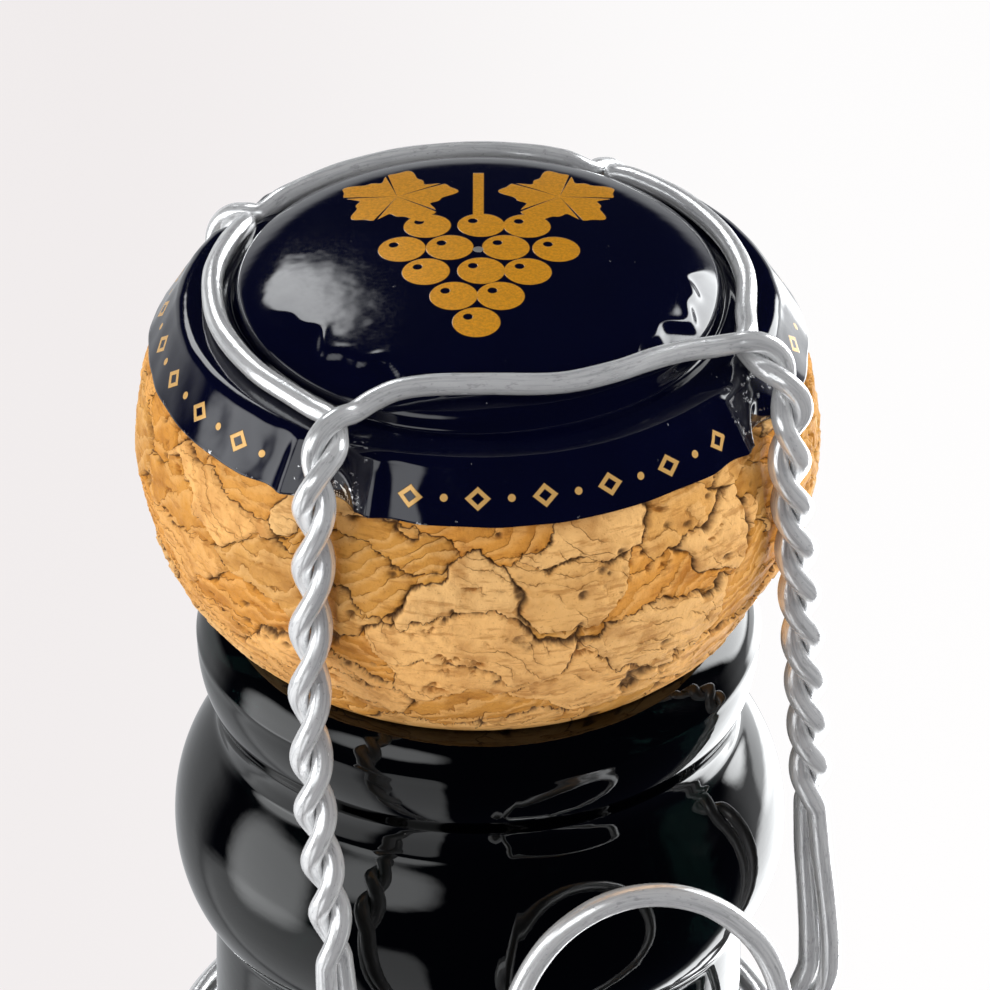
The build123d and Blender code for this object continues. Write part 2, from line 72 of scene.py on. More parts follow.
# Radius of a leg beside the cap, radius of its bend over the cap's shoulder, where that bend starts and ends
LEG_BENDS = {"front": (16.2, 2.8, -20.0, 13.9), "back": (14.6, 2.1, -10.0, 13.5)}


# Node trees from Python expressions


class Shade:
    """One socket of a node tree. Arithmetic on it adds Math or Vector Math nodes."""

    def __init__(self, graph, socket):
        self.graph = graph
        self.socket = socket

    def worked(self, operation, *parts):
        """The Math node of an operation, or the Vector Math node where a part has three values."""
        wide = any(is_wide(part) for part in parts)
        kind = "ShaderNodeVectorMath" if wide else "ShaderNodeMath"
        output = "Value" if operation in ("LENGTH", "DOT_PRODUCT") or not wide else "Vector"
        return self.graph.node(kind, {"operation": operation}, dict(enumerate(parts)), output)

    def __add__(self, other):
        return self.worked("ADD", self, other)

    def __radd__(self, other):
        return self.worked("ADD", other, self)

    def __sub__(self, other):
        return self.worked("SUBTRACT", self, other)

    def __rsub__(self, other):
        return self.worked("SUBTRACT", other, self)

    def __mul__(self, other):
        return self.worked("MULTIPLY", self, other)

    def __rmul__(self, other):
        return self.worked("MULTIPLY", other, self)

    def __truediv__(self, other):
        return self.worked("DIVIDE", self, other)

    def __pow__(self, other):
        return self.worked("POWER", self, other)

    def __gt__(self, other):
        return self.worked("GREATER_THAN", self, other)

    def __lt__(self, other):
        return self.worked("LESS_THAN", self, other)

    def __abs__(self):
        return self.worked("ABSOLUTE", self)

    def most(self, other):
        return self.worked("MAXIMUM", self, other)

    def sine(self):
        return self.worked("SINE", self)

    def whole(self):
        return self.worked("FLOOR", self)

    def length(self):
        return self.worked("LENGTH", self)

    def along(self, way):
        return self.worked("DOT_PRODUCT", self, way)

    def angle(self, across):
        return self.worked("ARCTAN2", self, across)

    def part(self, index):
        """One of the three values."""
        return self.graph.node("ShaderNodeSeparateXYZ", {}, {0: self}, index)

    def flat(self):
        """A place without its height."""
        return self * (1.0, 1.0, 0.0)

    def rise(self, low, high, start=0.0, end=1.0):
        """A smooth step from start, below low, to end, above high."""
        settings = {"interpolation_type": "SMOOTHSTEP"}
        sockets = {"Value": self, "From Min": low, "From Max": high, "To Min": start, "To Max": end}
        return self.graph.node("ShaderNodeMapRange", settings, sockets, "Result")

    def fall(self, low, high):
        """A smooth step from 1, below low, to 0, above high."""
        return self.rise(low, high, 1.0, 0.0)


def is_wide(part):
    """True for a vector or a colour, as a socket or as numbers."""
    if isinstance(part, Shade):
        return part.socket.type in ("VECTOR", "RGBA")
    return hasattr(part, "__len__")


class Graph:
    """A node tree of a material, a world or a relief."""

    def __init__(self, tree):
        self.tree = tree

    def put(self, socket, value):
        """Links a socket, or sets the value that it has by itself."""
        if isinstance(value, Shade):
            self.tree.links.new(value.socket, socket)
        elif socket.type == "RGBA":
            socket.default_value = (*value, 1.0) if is_wide(value) else (value, value, value, 1.0)
        elif socket.type == "VECTOR":
            socket.default_value = value if is_wide(value) else (value, value, value)
        else:
            socket.default_value = value

    def node(self, kind, settings, sockets, output=0):
        """A node of this kind, with its settings made first, then its sockets."""
        made = self.tree.nodes.new(kind)
        for name, value in settings.items():
            if name == "stops":
                self.put_stops(made.color_ramp, value)
            else:
                setattr(made, name, value)
        for name, value in sockets.items():
            self.put(found_socket(made.inputs, name), value)
        return Shade(self, found_socket(made.outputs, output))

    def put_stops(self, ramp, stops):
        while len(ramp.elements) < len(stops):
            ramp.elements.new(1.0)
        for element, (place, colour) in zip(ramp.elements, stops):
            element.position = place
            element.color = (*colour, 1.0)

    def finish(self, kind, name, value):
        """Leads a value to the node that ends the tree."""
        self.put(self.tree.nodes.new(kind).inputs[name], value)

    def ramp(self, value, stops):
        """A colour for a value, by its stops."""
        return self.node("ShaderNodeValToRGB", {"stops": stops}, {"Fac": value}, "Color")

    def mix(self, share, first, second):
        """A colour or a number on the way from the first to the second."""
        wide = is_wide(first) or is_wide(second)
        settings = {"data_type": "RGBA" if wide else "FLOAT"}
        return self.node("ShaderNodeMix", settings, {"Factor": share, "A": first, "B": second}, "Result")

    def noise(self, place, scale, detail=2.0, roughness=0.5, output="Fac"):
        """Cloudy noise, from 0 to 1, whose scale is a number of clouds for each millimetre."""
        sockets = {"Vector": place, "Scale": scale, "Detail": detail, "Roughness": roughness}
        return self.node("ShaderNodeTexNoise", {}, sockets, output)

    def cells(self, place, feature, output):
        """Cells of one unit each."""
        sockets = {"Vector": place, "Scale": 1.0}
        return self.node("ShaderNodeTexVoronoi", {"feature": feature}, sockets, output)

    def place(self, name="place"):
        """A place that the mesh keeps, in millimetres."""
        return self.node("ShaderNodeAttribute", {"attribute_name": name}, {}, "Vector")

    def object_place(self):
        """A place on an object that keeps none, in metres."""
        return self.node("ShaderNodeTexCoord", {}, {}, "Object")

    def ray(self, name):
        """1 for one kind of ray, 0 for the others."""
        return self.node("ShaderNodeLightPath", {}, {}, name)

    def bump(self, height, distance, strength=1.0):
        """The normal of a surface with this height, in millimetres."""
        sockets = {"Height": height, "Distance": distance * MM, "Strength": strength}
        return self.node("ShaderNodeBump", {}, sockets, "Normal")


def found_socket(sockets, name):
    """A socket by its number, or the one in use that has the name."""
    if isinstance(name, int):
        return sockets[name]
    return next(socket for socket in sockets if socket.name == name and socket.enabled)


def new_material(name):
    """A material's graph, empty but for its output."""
    material = bpy.data.materials.new(name)
    material.use_nodes = True
    material.node_tree.nodes.clear()
    graph = Graph(material.node_tree)
    graph.owner = material
    return graph


def finish_surface(graph, sockets):
    """Gives a material its shader."""
    shader = graph.node("ShaderNodeBsdfPrincipled", {}, sockets, "BSDF")
    graph.finish("ShaderNodeOutputMaterial", "Surface", shader)
    return graph.owner


# Sections, meshes and tubes, all in millimetres


class Outline:
    """Points of a section, each radius + height * 1j, along lines and arcs."""

    def __init__(self, start):
        self.points = [complex(start)]

    def line(self, end, step):
        start = self.points[-1]
        count = max(1, round(abs(end - start) / step))
        self.points += [start + (end - start) * n / count for n in range(1, count + 1)]

    def lines(self, *ends_and_steps):
        for end, step in ends_and_steps:
            self.line(end, step)

    def arc(self, end, way, step, at_end=False):
        """An arc that leaves its start along a way, or comes to its end along it."""
        start = self.points[-1]
        if at_end:
            way = ((end - start) / abs(end - start)) ** 2 / (way / abs(way))
        chord = end - start
        turn = 2 * np.angle(chord / way)
        centre = start + chord / 2 + 1j * chord / 2 / np.tan(turn / 2)
        count = max(2, round(abs(turn) * abs(start - centre) / step))
        arm = start - centre
        self.points += [centre + arm * np.exp(1j * turn * n / count) for n in range(1, count + 1)]


def polar(radius, azimuth, rise):
    """Points at radii, azimuths in degrees and rises over the lip."""
    turn = np.radians(azimuth)
    parts = np.broadcast_arrays(radius * np.cos(turn), radius * np.sin(turn), LIP + np.asarray(rise, float))
    return np.stack(parts, axis=-1)


def quads(rows, columns):
    """Faces of a grid whose columns close on themselves."""
    row, column = np.meshgrid(np.arange(rows - 1), np.arange(columns), indexing="ij")
    beside = (column + 1) % columns
    low, high = row * columns, (row + 1) * columns
    return np.stack([low + column, low + beside, high + beside, high + column], axis=-1).reshape(-1, 4)


def end_fans(rows, columns):
    """Triangles from a grid's first row to the point after its last, and from its last row to the next."""
    first, last, bottom = rows * columns, rows * columns + 1, (rows - 1) * columns
    fans = []
    for column in range(columns):
        beside = (column + 1) % columns
        fans += [(first, beside, column), (last, bottom + column, bottom + beside)]
    return fans


def volume_sign(points, faces):
    """The sign of the volume inside a mesh of quads."""
    a, b, c, d = (points[faces[:, corner]] for corner in range(4))
    whole = np.einsum("ij,ij->i", a, np.cross(b, c)) + np.einsum("ij,ij->i", a, np.cross(c, d))
    return np.sign(whole.sum())


def new_piece(name, points, columns, places):
    """A closed smooth mesh from rows of points and two that close its ends, with the places it keeps."""
    rows = len(points) // columns
    faces, fans = quads(rows, columns), end_fans(rows, columns)
    if volume_sign(points - points.mean(axis=0), faces) < 0:
        faces = faces[:, ::-1]
        fans = [triangle[::-1] for triangle in fans]
    mesh = bpy.data.meshes.new(name)
    mesh.from_pydata((points * MM).tolist(), [], faces.tolist() + fans)
    for key, values in {"place": points - (0, 0, LIP), **places}.items():
        layer = mesh.attributes.new(key, "FLOAT_VECTOR", "POINT")
        layer.data.foreach_set("vector", np.asarray(values, np.float32).ravel())
    mesh.shade_smooth()
    piece = bpy.data.objects.new(name, mesh)
    bpy.context.scene.collection.objects.link(piece)
    return piece


def turned_piece(name, outline, columns, shape):
    """A piece turned about the bottle's axis, whose outline starts and ends on that axis."""
    outline = np.array(outline)
    azimuths = np.arange(columns) * 360 / columns
    radius, azimuth = np.meshgrid(outline[1:-1].real, azimuths, indexing="ij")
    rise = np.broadcast_to(outline[1:-1].imag[:, None], radius.shape)
    radius, rise = shape(radius, azimuth, rise)
    ends = polar(np.zeros(2), np.zeros(2), outline[[0, -1]].imag)
    return new_piece(name, np.vstack([polar(radius, azimuth, rise).reshape(-1, 3), ends]), columns, {})


def smoothed(points, spread, closed=False):
    """A path with its corners eased, by a bell curve of this spread in points."""
    reach = int(3 * spread) + 1
    bell = np.exp(-0.5 * (np.arange(-reach, reach + 1) / spread) ** 2)
    bell /= bell.sum()
    if closed:
        padded = np.vstack([points[-reach:], points, points[:reach]])
    else:
        before = 2 * points[0] - points[reach:0:-1]
        after = 2 * points[-1] - points[-2 : -reach - 2 : -1]
        padded = np.vstack([before, points, after])
    return np.stack([np.convolve(padded[:, axis], bell, "valid") for axis in range(3)], axis=-1)


def curved_through(points, step, closed=False):
    """A smooth path through points, with points of its own a step apart."""
    points = np.asarray(points, float)
    if closed:
        points = np.vstack([points[-1], points, points[:2]])
    else:
        points = np.vstack([2 * points[0] - points[1], points, 2 * points[-1] - points[-2]])
    path = []
    for p0, p1, p2, p3 in zip(points, points[1:], points[2:], points[3:]):
        t1 = np.linalg.norm(p1 - p0) ** 0.5
        t2 = t1 + np.linalg.norm(p2 - p1) ** 0.5
        t3 = t2 + np.linalg.norm(p3 - p2) ** 0.5
        count = max(1, int(np.ceil(np.linalg.norm(p2 - p1) / step)))
        t = (t1 + (t2 - t1) * np.arange(count) / count)[:, None]
        a1 = p0 * (t1 - t) / t1 + p1 * t / t1
        a2 = p1 * (t2 - t) / (t2 - t1) + p2 * (t - t1) / (t2 - t1)
        a3 = p2 * (t3 - t) / (t3 - t2) + p3 * (t - t2) / (t3 - t2)
        b1 = a1 * (t2 - t) / t2 + a2 * t / t2
        b2 = a2 * (t3 - t) / (t3 - t1) + a3 * (t - t1) / (t3 - t1)
        path.append(b1 * (t2 - t) / (t2 - t1) + b2 * (t - t1) / (t2 - t1))
    if not closed:
        path.append(points[-2][None])
    return np.vstack(path)


def runs_along(path):
    """The way from a path's start to each of its points."""
    return np.concatenate([[0], np.cumsum(np.linalg.norm(np.diff(path, axis=0), axis=1))])


def respaced(path, step):
    """A path's points again, evenly spaced."""
    runs = runs_along(path)
    wanted = np.linspace(0, runs[-1], max(3, round(runs[-1] / step) + 1))
    return np.stack([np.interp(wanted, runs, path[:, axis]) for axis in range(3)], axis=-1)


def wire_rings(path, diameter, sides, blunt=0.0):
    """Rings of a slightly uneven round wire along a path, and the same rings as they were drawn, straight."""
    some_way, least_taper = (0.3, 0.2, 0.93), 0.15
    ways = np.gradient(path, axis=0)
    ways /= np.linalg.norm(ways, axis=1)[:, None]
    side = np.cross(ways[0], some_way)
    runs = runs_along(path)
    turns = np.arange(sides) * 2 * np.pi / sides
    rings, straight = [], []
    for point, way, run in zip(path, ways, runs):
        side = side - way * side.dot(way)
        side /= np.linalg.norm(side)
        over = np.cross(way, side)
        near_end = min(run, runs[-1] - run)
        taper = 1.0 if near_end >= blunt else (1 - (1 - near_end / blunt) ** 2) ** 0.5
        radius = diameter / 2 * max(taper, least_taper)
        uneven = 1 + 0.012 * np.sin(run * 1.9 + 2 * turns) + 0.010 * np.sin(run * 0.83 - 3 * turns + 1.3)
        around = np.cos(turns)[:, None] * side + np.sin(turns)[:, None] * over
        rings.append(point + around * (radius * uneven)[:, None])
        around = (np.full(sides, run), radius * np.cos(turns), radius * np.sin(turns))
        straight.append(np.stack(around, axis=-1))
    return np.array(rings), np.array(straight)


def wire_piece(name, rings, straight):
    """A wire through its rings, closed at both ends, whose surface runs on in the next piece of the wire."""
    points, drawn = (
        np.vstack([part.reshape(-1, 3), part[[0, -1]].mean(axis=1)]) for part in (rings, straight)
    )
    piece = new_piece(name, points, rings.shape[1], {"drawn": drawn})
    outward = rings - rings.mean(axis=1, keepdims=True)
    ends_out = np.stack([rings[0] - rings[1], rings[-1] - rings[-2]]).mean(axis=1)
    normals = np.vstack([outward.reshape(-1, 3), ends_out])
    piece.data.normals_split_custom_set_from_vertices(normals / np.linalg.norm(normals, axis=1)[:, None])
    return piece


def relieved(piece, name, height_of):
    """Raises and sinks a piece's surface by a height that a graph works out from each place."""
    group = bpy.data.node_groups.new(name, "GeometryNodeTree")
    for way in ("INPUT", "OUTPUT"):
        group.interface.new_socket(name="Geometry", in_out=way, socket_type="NodeSocketGeometry")
    graph = Graph(group)
    whole = graph.node("NodeGroupInput", {}, {}, "Geometry")
    kept = {"data_type": "FLOAT_VECTOR"}
    place = graph.node("GeometryNodeInputNamedAttribute", kept, {"Name": "place"}, "Attribute")
    offset = graph.node("GeometryNodeInputNormal", {}, {}, "Normal") * (height_of(graph, place) * MM)
    moved = graph.node("GeometryNodeSetPosition", {}, {"Geometry": whole, "Offset": offset}, "Geometry")
    graph.finish("NodeGroupOutput", "Geometry", moved)
    piece.modifiers.new(name, "NODES").node_group = group
    shown = piece.evaluated_get(bpy.context.evaluated_depsgraph_get())
    made = bpy.data.meshes.new_from_object(shown)
    piece.modifiers.clear()
    piece.data = made
    bpy.data.node_groups.remove(group)


def degrees_from(azimuth, other):
    """Degrees round the bottle from an azimuth to another, from -180 to 180."""
    return (azimuth - other + 180) % 360 - 180


def seated(piece, body, slot, material, *nodes):
    """Puts a piece on its body, with its finish, in place of the plain nodes."""
    piece.data.materials.clear()
    piece.data.materials.append(material)
    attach(piece, body)
    if nodes:
        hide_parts(*nodes)


def finished_node(node, material):
    """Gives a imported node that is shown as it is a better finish."""
    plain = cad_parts[node]
    plain.data.materials.clear()
    plain.data.materials.append(material)


def arc_distance(azimuth, other, radius):
    """Distance round the bottle from an azimuth to another."""
    return np.radians(degrees_from(azimuth, other)) * radius


def ripples(azimuth, rise, *waves):
    """The sum of waves, each with its height, its count round the bottle, its pace up it and its start."""
    return sum(
        height * np.sin(np.radians(count * azimuth) + pace * rise + start)
        for height, count, pace, start in waves
    )


def bell(distance, width):
    """1 in the middle of a bell curve and near 0 at twice its width."""
    return np.exp(-((distance / width) ** 2))


def trough(centre, reach, beside):
    """Radius to which a round wire of this reach, at a radius from the axis, presses what lies behind it."""
    return centre - np.sqrt(np.clip(reach**2 - beside**2, 0, None))


def colour_setting(name, description, default):
    return FloatVectorProperty(
        name=name, description=description, default=default, size=3, subtype="COLOR", min=0, max=1
    )


def length_setting(name, description, millimetres):
    return FloatProperty(
        name=name, description=description, default=millimetres * MM, unit="LENGTH", precision=5
    )


# Glass and wine


def glass_outline():
    """Section of the bottle, from the punt's tip round the outside and back down the inside."""
    floor, wall, thick = -LIP, 5.0, 8.0
    tip, tip_round, slope = 32.0, 14.0, np.radians(50.0)
    centre = tip - tip_round
    side = tip_round * np.sin(slope) + 1j * (floor + centre + tip_round * np.cos(slope))
    bearing = (tip_round + centre * np.cos(slope)) / np.sin(slope)
    body, body_top, shoulder, flare, neck = 44.0, floor + 135.0, 95.0, 125.0, 13.9
    turn = np.arccos(1 - (body - neck) / (shoulder + flare))
    turned = body - shoulder * (1 - np.cos(turn)) + 1j * (body_top + shoulder * np.sin(turn))
    neck_base = body_top + (shoulder + flare) * np.sin(turn)
    way = np.exp(1j * (np.pi / 2 + turn))
    under_ring, ring, over_ring, lip, bore = 12.6, 14.5 - 12.7j, 12.3 - 7.2j, 13.22 - 2.4j, 8.75
    outline = Outline(1j * (floor + tip))
    outline.arc(side, 1, 1.0)
    outline.lines((bearing + 1j * floor, 1.5), (bearing + 3.6 + 1j * floor, 0.9))
    outline.arc(body + 1j * (floor + 8.0), 1j, 0.8, at_end=True)
    outline.line(body + 1j * body_top, 4.0)
    outline.arc(turned, 1j, 2.5)
    outline.arc(neck + 1j * neck_base, way, 2.5)
    outline.lines((under_ring - 1j * BELT_DROP, 0.6), (under_ring - 22.0j, 0.3))
    start = len(outline.points)
    outline.line(under_ring - 17.35j, 0.12)
    outline.arc(ring, 1j, 0.12, at_end=True)
    outline.arc(over_ring, 1j, 0.12)
    outline.lines((12.28 - 6.2j, 0.12), (12.42 - 5.5j, 0.12), (12.8 - 4.7j, 0.1))
    outline.arc(lip, 1j, 0.1, at_end=True)
    outline.lines((13.27 - 2.05j, 0.08), (13.17 - 1.9j, 0.08))
    outline.arc(10.85 + 0j, -1, 0.12, at_end=True)
    outline.line(10.05 + 0j, 0.2)
    end = len(outline.points)
    neck_points = np.array(outline.points[start:end])
    soft = smoothed(np.stack([neck_points.real, neck_points.imag, neck_points.real * 0], axis=-1), 1.6)
    outline.points[start:end] = list(soft[:, 0] + 1j * soft[:, 1])
    outline.arc(bore - 1.3j, -1, 0.25)
    outline.lines((bore - 31.0j, 2.0), (neck - wall + 1j * neck_base, 3.0))
    outline.arc(turned - wall * np.exp(1j * turn), -1j, 3.0)
    outline.arc(body - wall + 1j * body_top, -way, 3.0)
    inner_round, reach = tip_round + thick, body - wall
    low = floor + centre + (inner_round - reach * np.sin(slope)) / np.cos(slope)
    outline.line(reach + 1j * (low + 9.0), 4.0)
    outline.arc(reach - 5.2 + 1j * (low + 6.6), -1j, 0.8)
    outline.line(inner_round * np.sin(slope) + 1j * (floor + centre + inner_round * np.cos(slope)), 2.0)
    outline.arc(1j * (floor + tip + thick), -1, 1.0, at_end=True)
    return outline.points


def glass_shape(radius, azimuth, rise):
    """The mould's two seams, and the waves that blown glass keeps on its neck."""
    neck_inside, neck_low, body_inside = 11.0, -40.0, 39.5
    seam_azimuths, seam_width, seam_height, seam_top = (276.5, 96.5), 0.16, 0.055, -2.0
    outside = (radius > neck_inside) & (rise > neck_low) | (radius > body_inside)
    waves = ripples(azimuth, rise, (0.030, 3, 0.31, 0.0), (0.022, 5, -0.47, 1.1), (0.016, 8, 0.83, 2.3))
    seam = sum(bell(arc_distance(azimuth, at, radius), seam_width) for at in seam_azimuths)
    below_lip = np.clip((seam_top - rise) / 1.5, 0, 1)
    return radius + outside * (waves + seam_height * seam * below_lip), rise


def glass_material(settings):
    graph = new_material("bottle_glass")
    place = graph.place()
    streak = graph.noise(place * (0.12, 0.12, 0.5), 1.0, 3.0, 0.55)
    pebble = graph.noise(place, 1.4, 2.0)
    tone = graph.noise(place, 0.08, 2.0)
    return finish_surface(
        graph,
        {
            "Base Color": graph.mix(tone, settings.colour * 0.75, settings.colour),
            "Roughness": pebble.rise(0.4, 0.8, 0.02, 0.06),
            "IOR": 1.52,
            "Transmission Weight": 1.0,
            "Normal": graph.bump(streak * 0.7 + pebble * 0.08, 0.05, 0.6),
        },
    )


def wine_material():
    graph = new_material("wine")
    place = graph.object_place() / MM
    cloud = graph.noise(place, 0.03, 3.0)
    bead = graph.cells(place / 9.0, "F1", "Distance").rise(0.03, 0.06)
    pale, deep, bubble = (0.93, 0.80, 0.42), (0.80, 0.62, 0.24), (0.98, 0.95, 0.85)
    return finish_surface(
        graph,
        {
            "Base Color": graph.mix(bead, bubble, graph.mix(cloud, pale, deep)),
            "Roughness": 0.02,
            "IOR": 1.34,
            "Transmission Weight": 1.0,
        },
    )


class BottleGlassSettings(bpy.types.PropertyGroup):
    """Sizes and colours of the bottle's glass."""

    columns: IntProperty(name="Columns", description="Faces round the bottle", default=288, min=32)
    colour: colour_setting("Glass colour", "Colour of light through the glass", (0.0003, 0.0010, 0.0008))


class BOTTLE_OT_glass(bpy.types.Operator):
    """Adds the dark green glass and finishes the wine in it"""

    bl_idname = "bottle.add_glass"
    bl_label = "Add the glass and wine"

    def execute(self, context):
        settings = context.scene.bottle_glass
        glass = turned_piece("glass_bottle", glass_outline(), settings.columns, glass_shape)
        seated(glass, "bottle", "glass", glass_material(settings), "bottle_glass")
        finished_node("wine", wine_material())
        return {"FINISHED"}


# Cork


def leg_azimuth(name, rise):
    """Azimuth of a leg's middle line at a rise, in degrees."""
    rises, azimuths = np.array(LEG_TURNS[name][::-1]).T
    slopes = np.gradient(azimuths, rises)
    rise = np.clip(rise, rises[0], rises[-1])
    after = np.clip(np.searchsorted(rises, rise), 1, len(rises) - 1)
    low, high = rises[after - 1], rises[after]
    t = (rise - low) / (high - low)
    ends = azimuths[after - 1] + (azimuths[after] - azimuths[after - 1]) * t * t * (3 - 2 * t)
    start = slopes[after - 1] * t * (1 - t) ** 2
    end = slopes[after] * t * t * (1 - t)
    return ends + (start - end) * (high - low)


def leg_bend(name):
    """Radius beside the cap, radius of the bend, where that bend starts and ends."""
    return LEG_BENDS[name.split("_")[0]]


def eased(share):
    share = np.clip(share, 0, 1)
    return share * share * (3 - 2 * share)


def leg_radius(name, rise):
    """Radius of a leg's middle line below the cap: down past the cork, over the ring, in to the belt."""
    start, top = leg_bend(name)[0], LEG_BENDS["front"][3]
    waist, waist_drop, ring_swell = 16.5, 8.5, 0.4
    pull, pull_drop, pull_length = 2.3, 18.0, 6.5
    past_cork = eased((top - rise) / (top + waist_drop))
    over_ring = eased((-waist_drop - rise) / waist_drop)
    to_belt = eased((-pull_drop - rise) / pull_length)
    return start + (waist - start) * past_cork + ring_swell * over_ring - pull * to_belt


def cork_outline(settings):
    """Section of the cork, with its head in fine steps."""
    shank, widest, step = settings.shank_radius / MM, settings.head_radius / MM, settings.grain_step / MM
    bottom, seat, widest_rise, top = -13.0j, -0.1j, 8.9j, 15.3j
    outline = Outline(bottom)
    outline.lines((shank + bottom, 0.5), (shank + seat, 0.4), (11.9 + seat, 0.2))
    outline.arc(widest + widest_rise, 1j, step, at_end=True)
    outline.arc(14.85 + RIM_RISE * 1j, 1j, step)
    outline.lines((13.62 + 15.0j, 0.3), (13.1 + top, 0.3), (9.6 + top, 0.8))
    outline.arc(16.3j, -1, 0.8, at_end=True)
    return outline.points


def cork_shape(radius, azimuth, rise):
    """Lumps of the swollen head, and the grooves that the legs press into it."""
    groove_reach, groove_spread, groove_bottom, dent_reach = 1.18, 2.6, 0.4, 1.95
    head = eased((rise + 0.2) / 3.0) * eased((13.4 - rise) / 2.0)
    lumps = ripples(azimuth, rise, (0.11, 4, 0.0, 0.6), (0.08, 7, 0.42, 0.0), (0.05, 11, -0.61, 2.0))
    shaped = radius + lumps * head * 0.6 - 0.05 * head
    for name in LEGS:
        middle = leg_radius(name, rise)
        beside = arc_distance(azimuth, leg_azimuth(name, rise), middle)
        pressed = np.where(abs(beside) < groove_reach, trough(middle, groove_reach, beside), shaped + 1.0)
        near = bell(beside, groove_spread) * 0.25 * head
        shaped = np.where(rise > groove_bottom, soft_least(shaped - near, pressed, 0.14), shaped)
    for name, start in LEG_AZIMUTHS.items():
        beside = arc_distance(azimuth, start, 15.9)
        centre = 15.9 if name.startswith("front") else 14.6
        under_cap = (rise > RIM_RISE - 0.1) & (abs(beside) < dent_reach) & (radius > 13.0)
        shaped = np.where(under_cap, np.minimum(shaped, trough(centre, dent_reach, beside)), shaped)
    return shaped, rise


def soft_least(first, second, blend):
    """The less of two, with the corner between them rounded."""
    share = np.clip(0.5 + 0.5 * (second - first) / blend, 0, 1)
    return second * (1 - share) + first * share - blend * share * (1 - share)


def cork_grain(graph, place):
    """Cracks between granules, each granule's tone, its layers and flakes, pits, crevices and fine grain."""
    granule_size, pit_size, pitted_share = (5.8, 5.8, 2.7), (0.95, 0.95, 0.7), 0.84
    drift = graph.noise(place, 0.27, 2.0, 0.5, "Color") - 0.5
    shiver = graph.noise(place, 1.1, 3.0, 0.6, "Color") - 0.5
    granules = (place + drift * 5.0 + shiver * 0.75) / granule_size
    edge = graph.cells(granules, "DISTANCE_TO_EDGE", "Distance")
    tone = graph.cells(granules, "F1", "Color")
    wide = graph.noise(place, 0.6, 2.0).rise(0.36, 0.74, 0.008, 0.070)
    tilt = (tone - 0.5) * (1.5, 1.5, 0.0) + (0.0, 0.0, 1.0)
    layers = place.along(tilt) * 0.95 + drift.part(0) * 5.5 + shiver.part(1) * 0.9 + tone.part(2) * 5.0
    layer = layers - layers.whole()
    dots = (place + shiver * 0.5) / pit_size
    pitted = graph.cells(dots, "F1", "Color").part(0) > pitted_share
    return {
        "crack": 1 - edge.rise(0.0, wide),
        "tone": tone.part(0),
        "warmth": tone.part(1),
        "layer": layer,
        "flake": layer.fall(0.0, 0.09) * graph.noise(place + 31.0, 0.55, 2.0).rise(0.45, 0.60),
        "pit": (1 - graph.cells(dots, "F1", "Distance").rise(0.10, 0.36)) * pitted,
        "crevice": graph.noise(place * (1.0, 1.0, 1.9) + drift * 3.0, 0.42, 4.0, 0.68).rise(0.635, 0.70),
        "grain": graph.noise(place, 3.4, 3.0, 0.6),
    }


def cork_height(graph, place):
    """Relief of the cork's head, none where the bottle, the cap or a disc touches it."""
    grain = cork_grain(graph, place)
    height = (grain["tone"] - 0.62) * 0.22 + (grain["layer"] - 0.5) * 0.08 + (grain["grain"] - 0.5) * 0.10
    for name, depth in (("crack", 0.32), ("flake", 0.09), ("pit", 0.22), ("crevice", 0.30)):
        height = height - grain[name] * depth
    rise = place.part(2)
    return height * (rise.rise(0.1, 1.2) * rise.fall(13.0, 13.8))


def cork_material(settings):
    graph = new_material("cork_granules")
    place = graph.place()
    grain = cork_grain(graph, place)
    light, middle, deep, dark = settings.light, settings.middle, settings.deep, settings.crack
    warm, cool = (1.06, 0.98, 0.86), (0.97, 1.0, 1.08)
    patch = graph.noise(place, 0.5, 3.0, 0.6)
    thread = graph.noise(place * (0.55, 0.55, 2.6) + grain["tone"] * 7.0, 1.1, 4.0, 0.62)
    speck = graph.noise(place, 6.5, 2.0, 0.7).rise(0.60, 0.74)
    body = graph.mix(grain["tone"].rise(0.15, 0.95), middle, light)
    for share, colour in (
        (patch.rise(0.40, 0.72) * 0.6, deep),
        (grain["layer"].rise(0.45, 1.0) * 0.5, light),
        (thread.rise(0.52, 0.66) * 0.5, deep),
    ):
        body = graph.mix(share, body, colour)
    body = body * graph.mix(grain["warmth"], warm, cool)
    # Specks take the cork's own deep brown. Pits, crevices, flake edges and the cracks between granules take
    # the near-black crack colour, wholly or in part: painted shade in recesses that the relief also sinks.
    for share, colour in (
        (speck * 0.45, deep),
        (grain["pit"] * 0.75, dark),
        (grain["crevice"] * 0.8, graph.mix(speck, deep, dark)),
        (grain["flake"] * 0.65, graph.mix(0.4, deep, dark)),
        (grain["crack"] * 0.9, dark),
    ):
        body = graph.mix(share, body, colour)
    fine = grain["grain"] * 0.6 + graph.noise(place, 9.0, 2.0) * 0.4
    return finish_surface(
        graph,
        {
            "Base Color": body,
            "Roughness": grain["grain"].rise(0.2, 0.8, 0.50, 0.78),
            "Specular IOR Level": 0.35,
            "Normal": graph.bump(fine - grain["flake"] * 0.6, 0.09, 0.8),
        },
    )


def disc_material():
    """Whole cork, cut across, with its pale ground and dark pores."""
    graph = new_material("cork_disc")
    place = graph.object_place() / MM
    year = graph.noise(place * (0.25, 1.6, 0.25), 1.0, 3.0)
    pore = 1 - graph.cells(place / (1.6, 2.6, 1.2), "F1", "Distance").rise(0.08, 0.22)
    pore = pore * graph.noise(place, 0.5).rise(0.45, 0.6)
    ground = [(0.25, (0.60, 0.36, 0.18)), (0.5, (0.72, 0.47, 0.25)), (0.8, (0.80, 0.56, 0.33))]
    return finish_surface(
        graph,
        {
            "Base Color": graph.mix(pore * 0.8, graph.ramp(year, ground), (0.20, 0.09, 0.04)),
            "Roughness": pore.rise(0.0, 1.0, 0.6, 0.85),
            "Normal": graph.bump(year * 0.5 - pore, 0.12, 0.8),
        },
    )


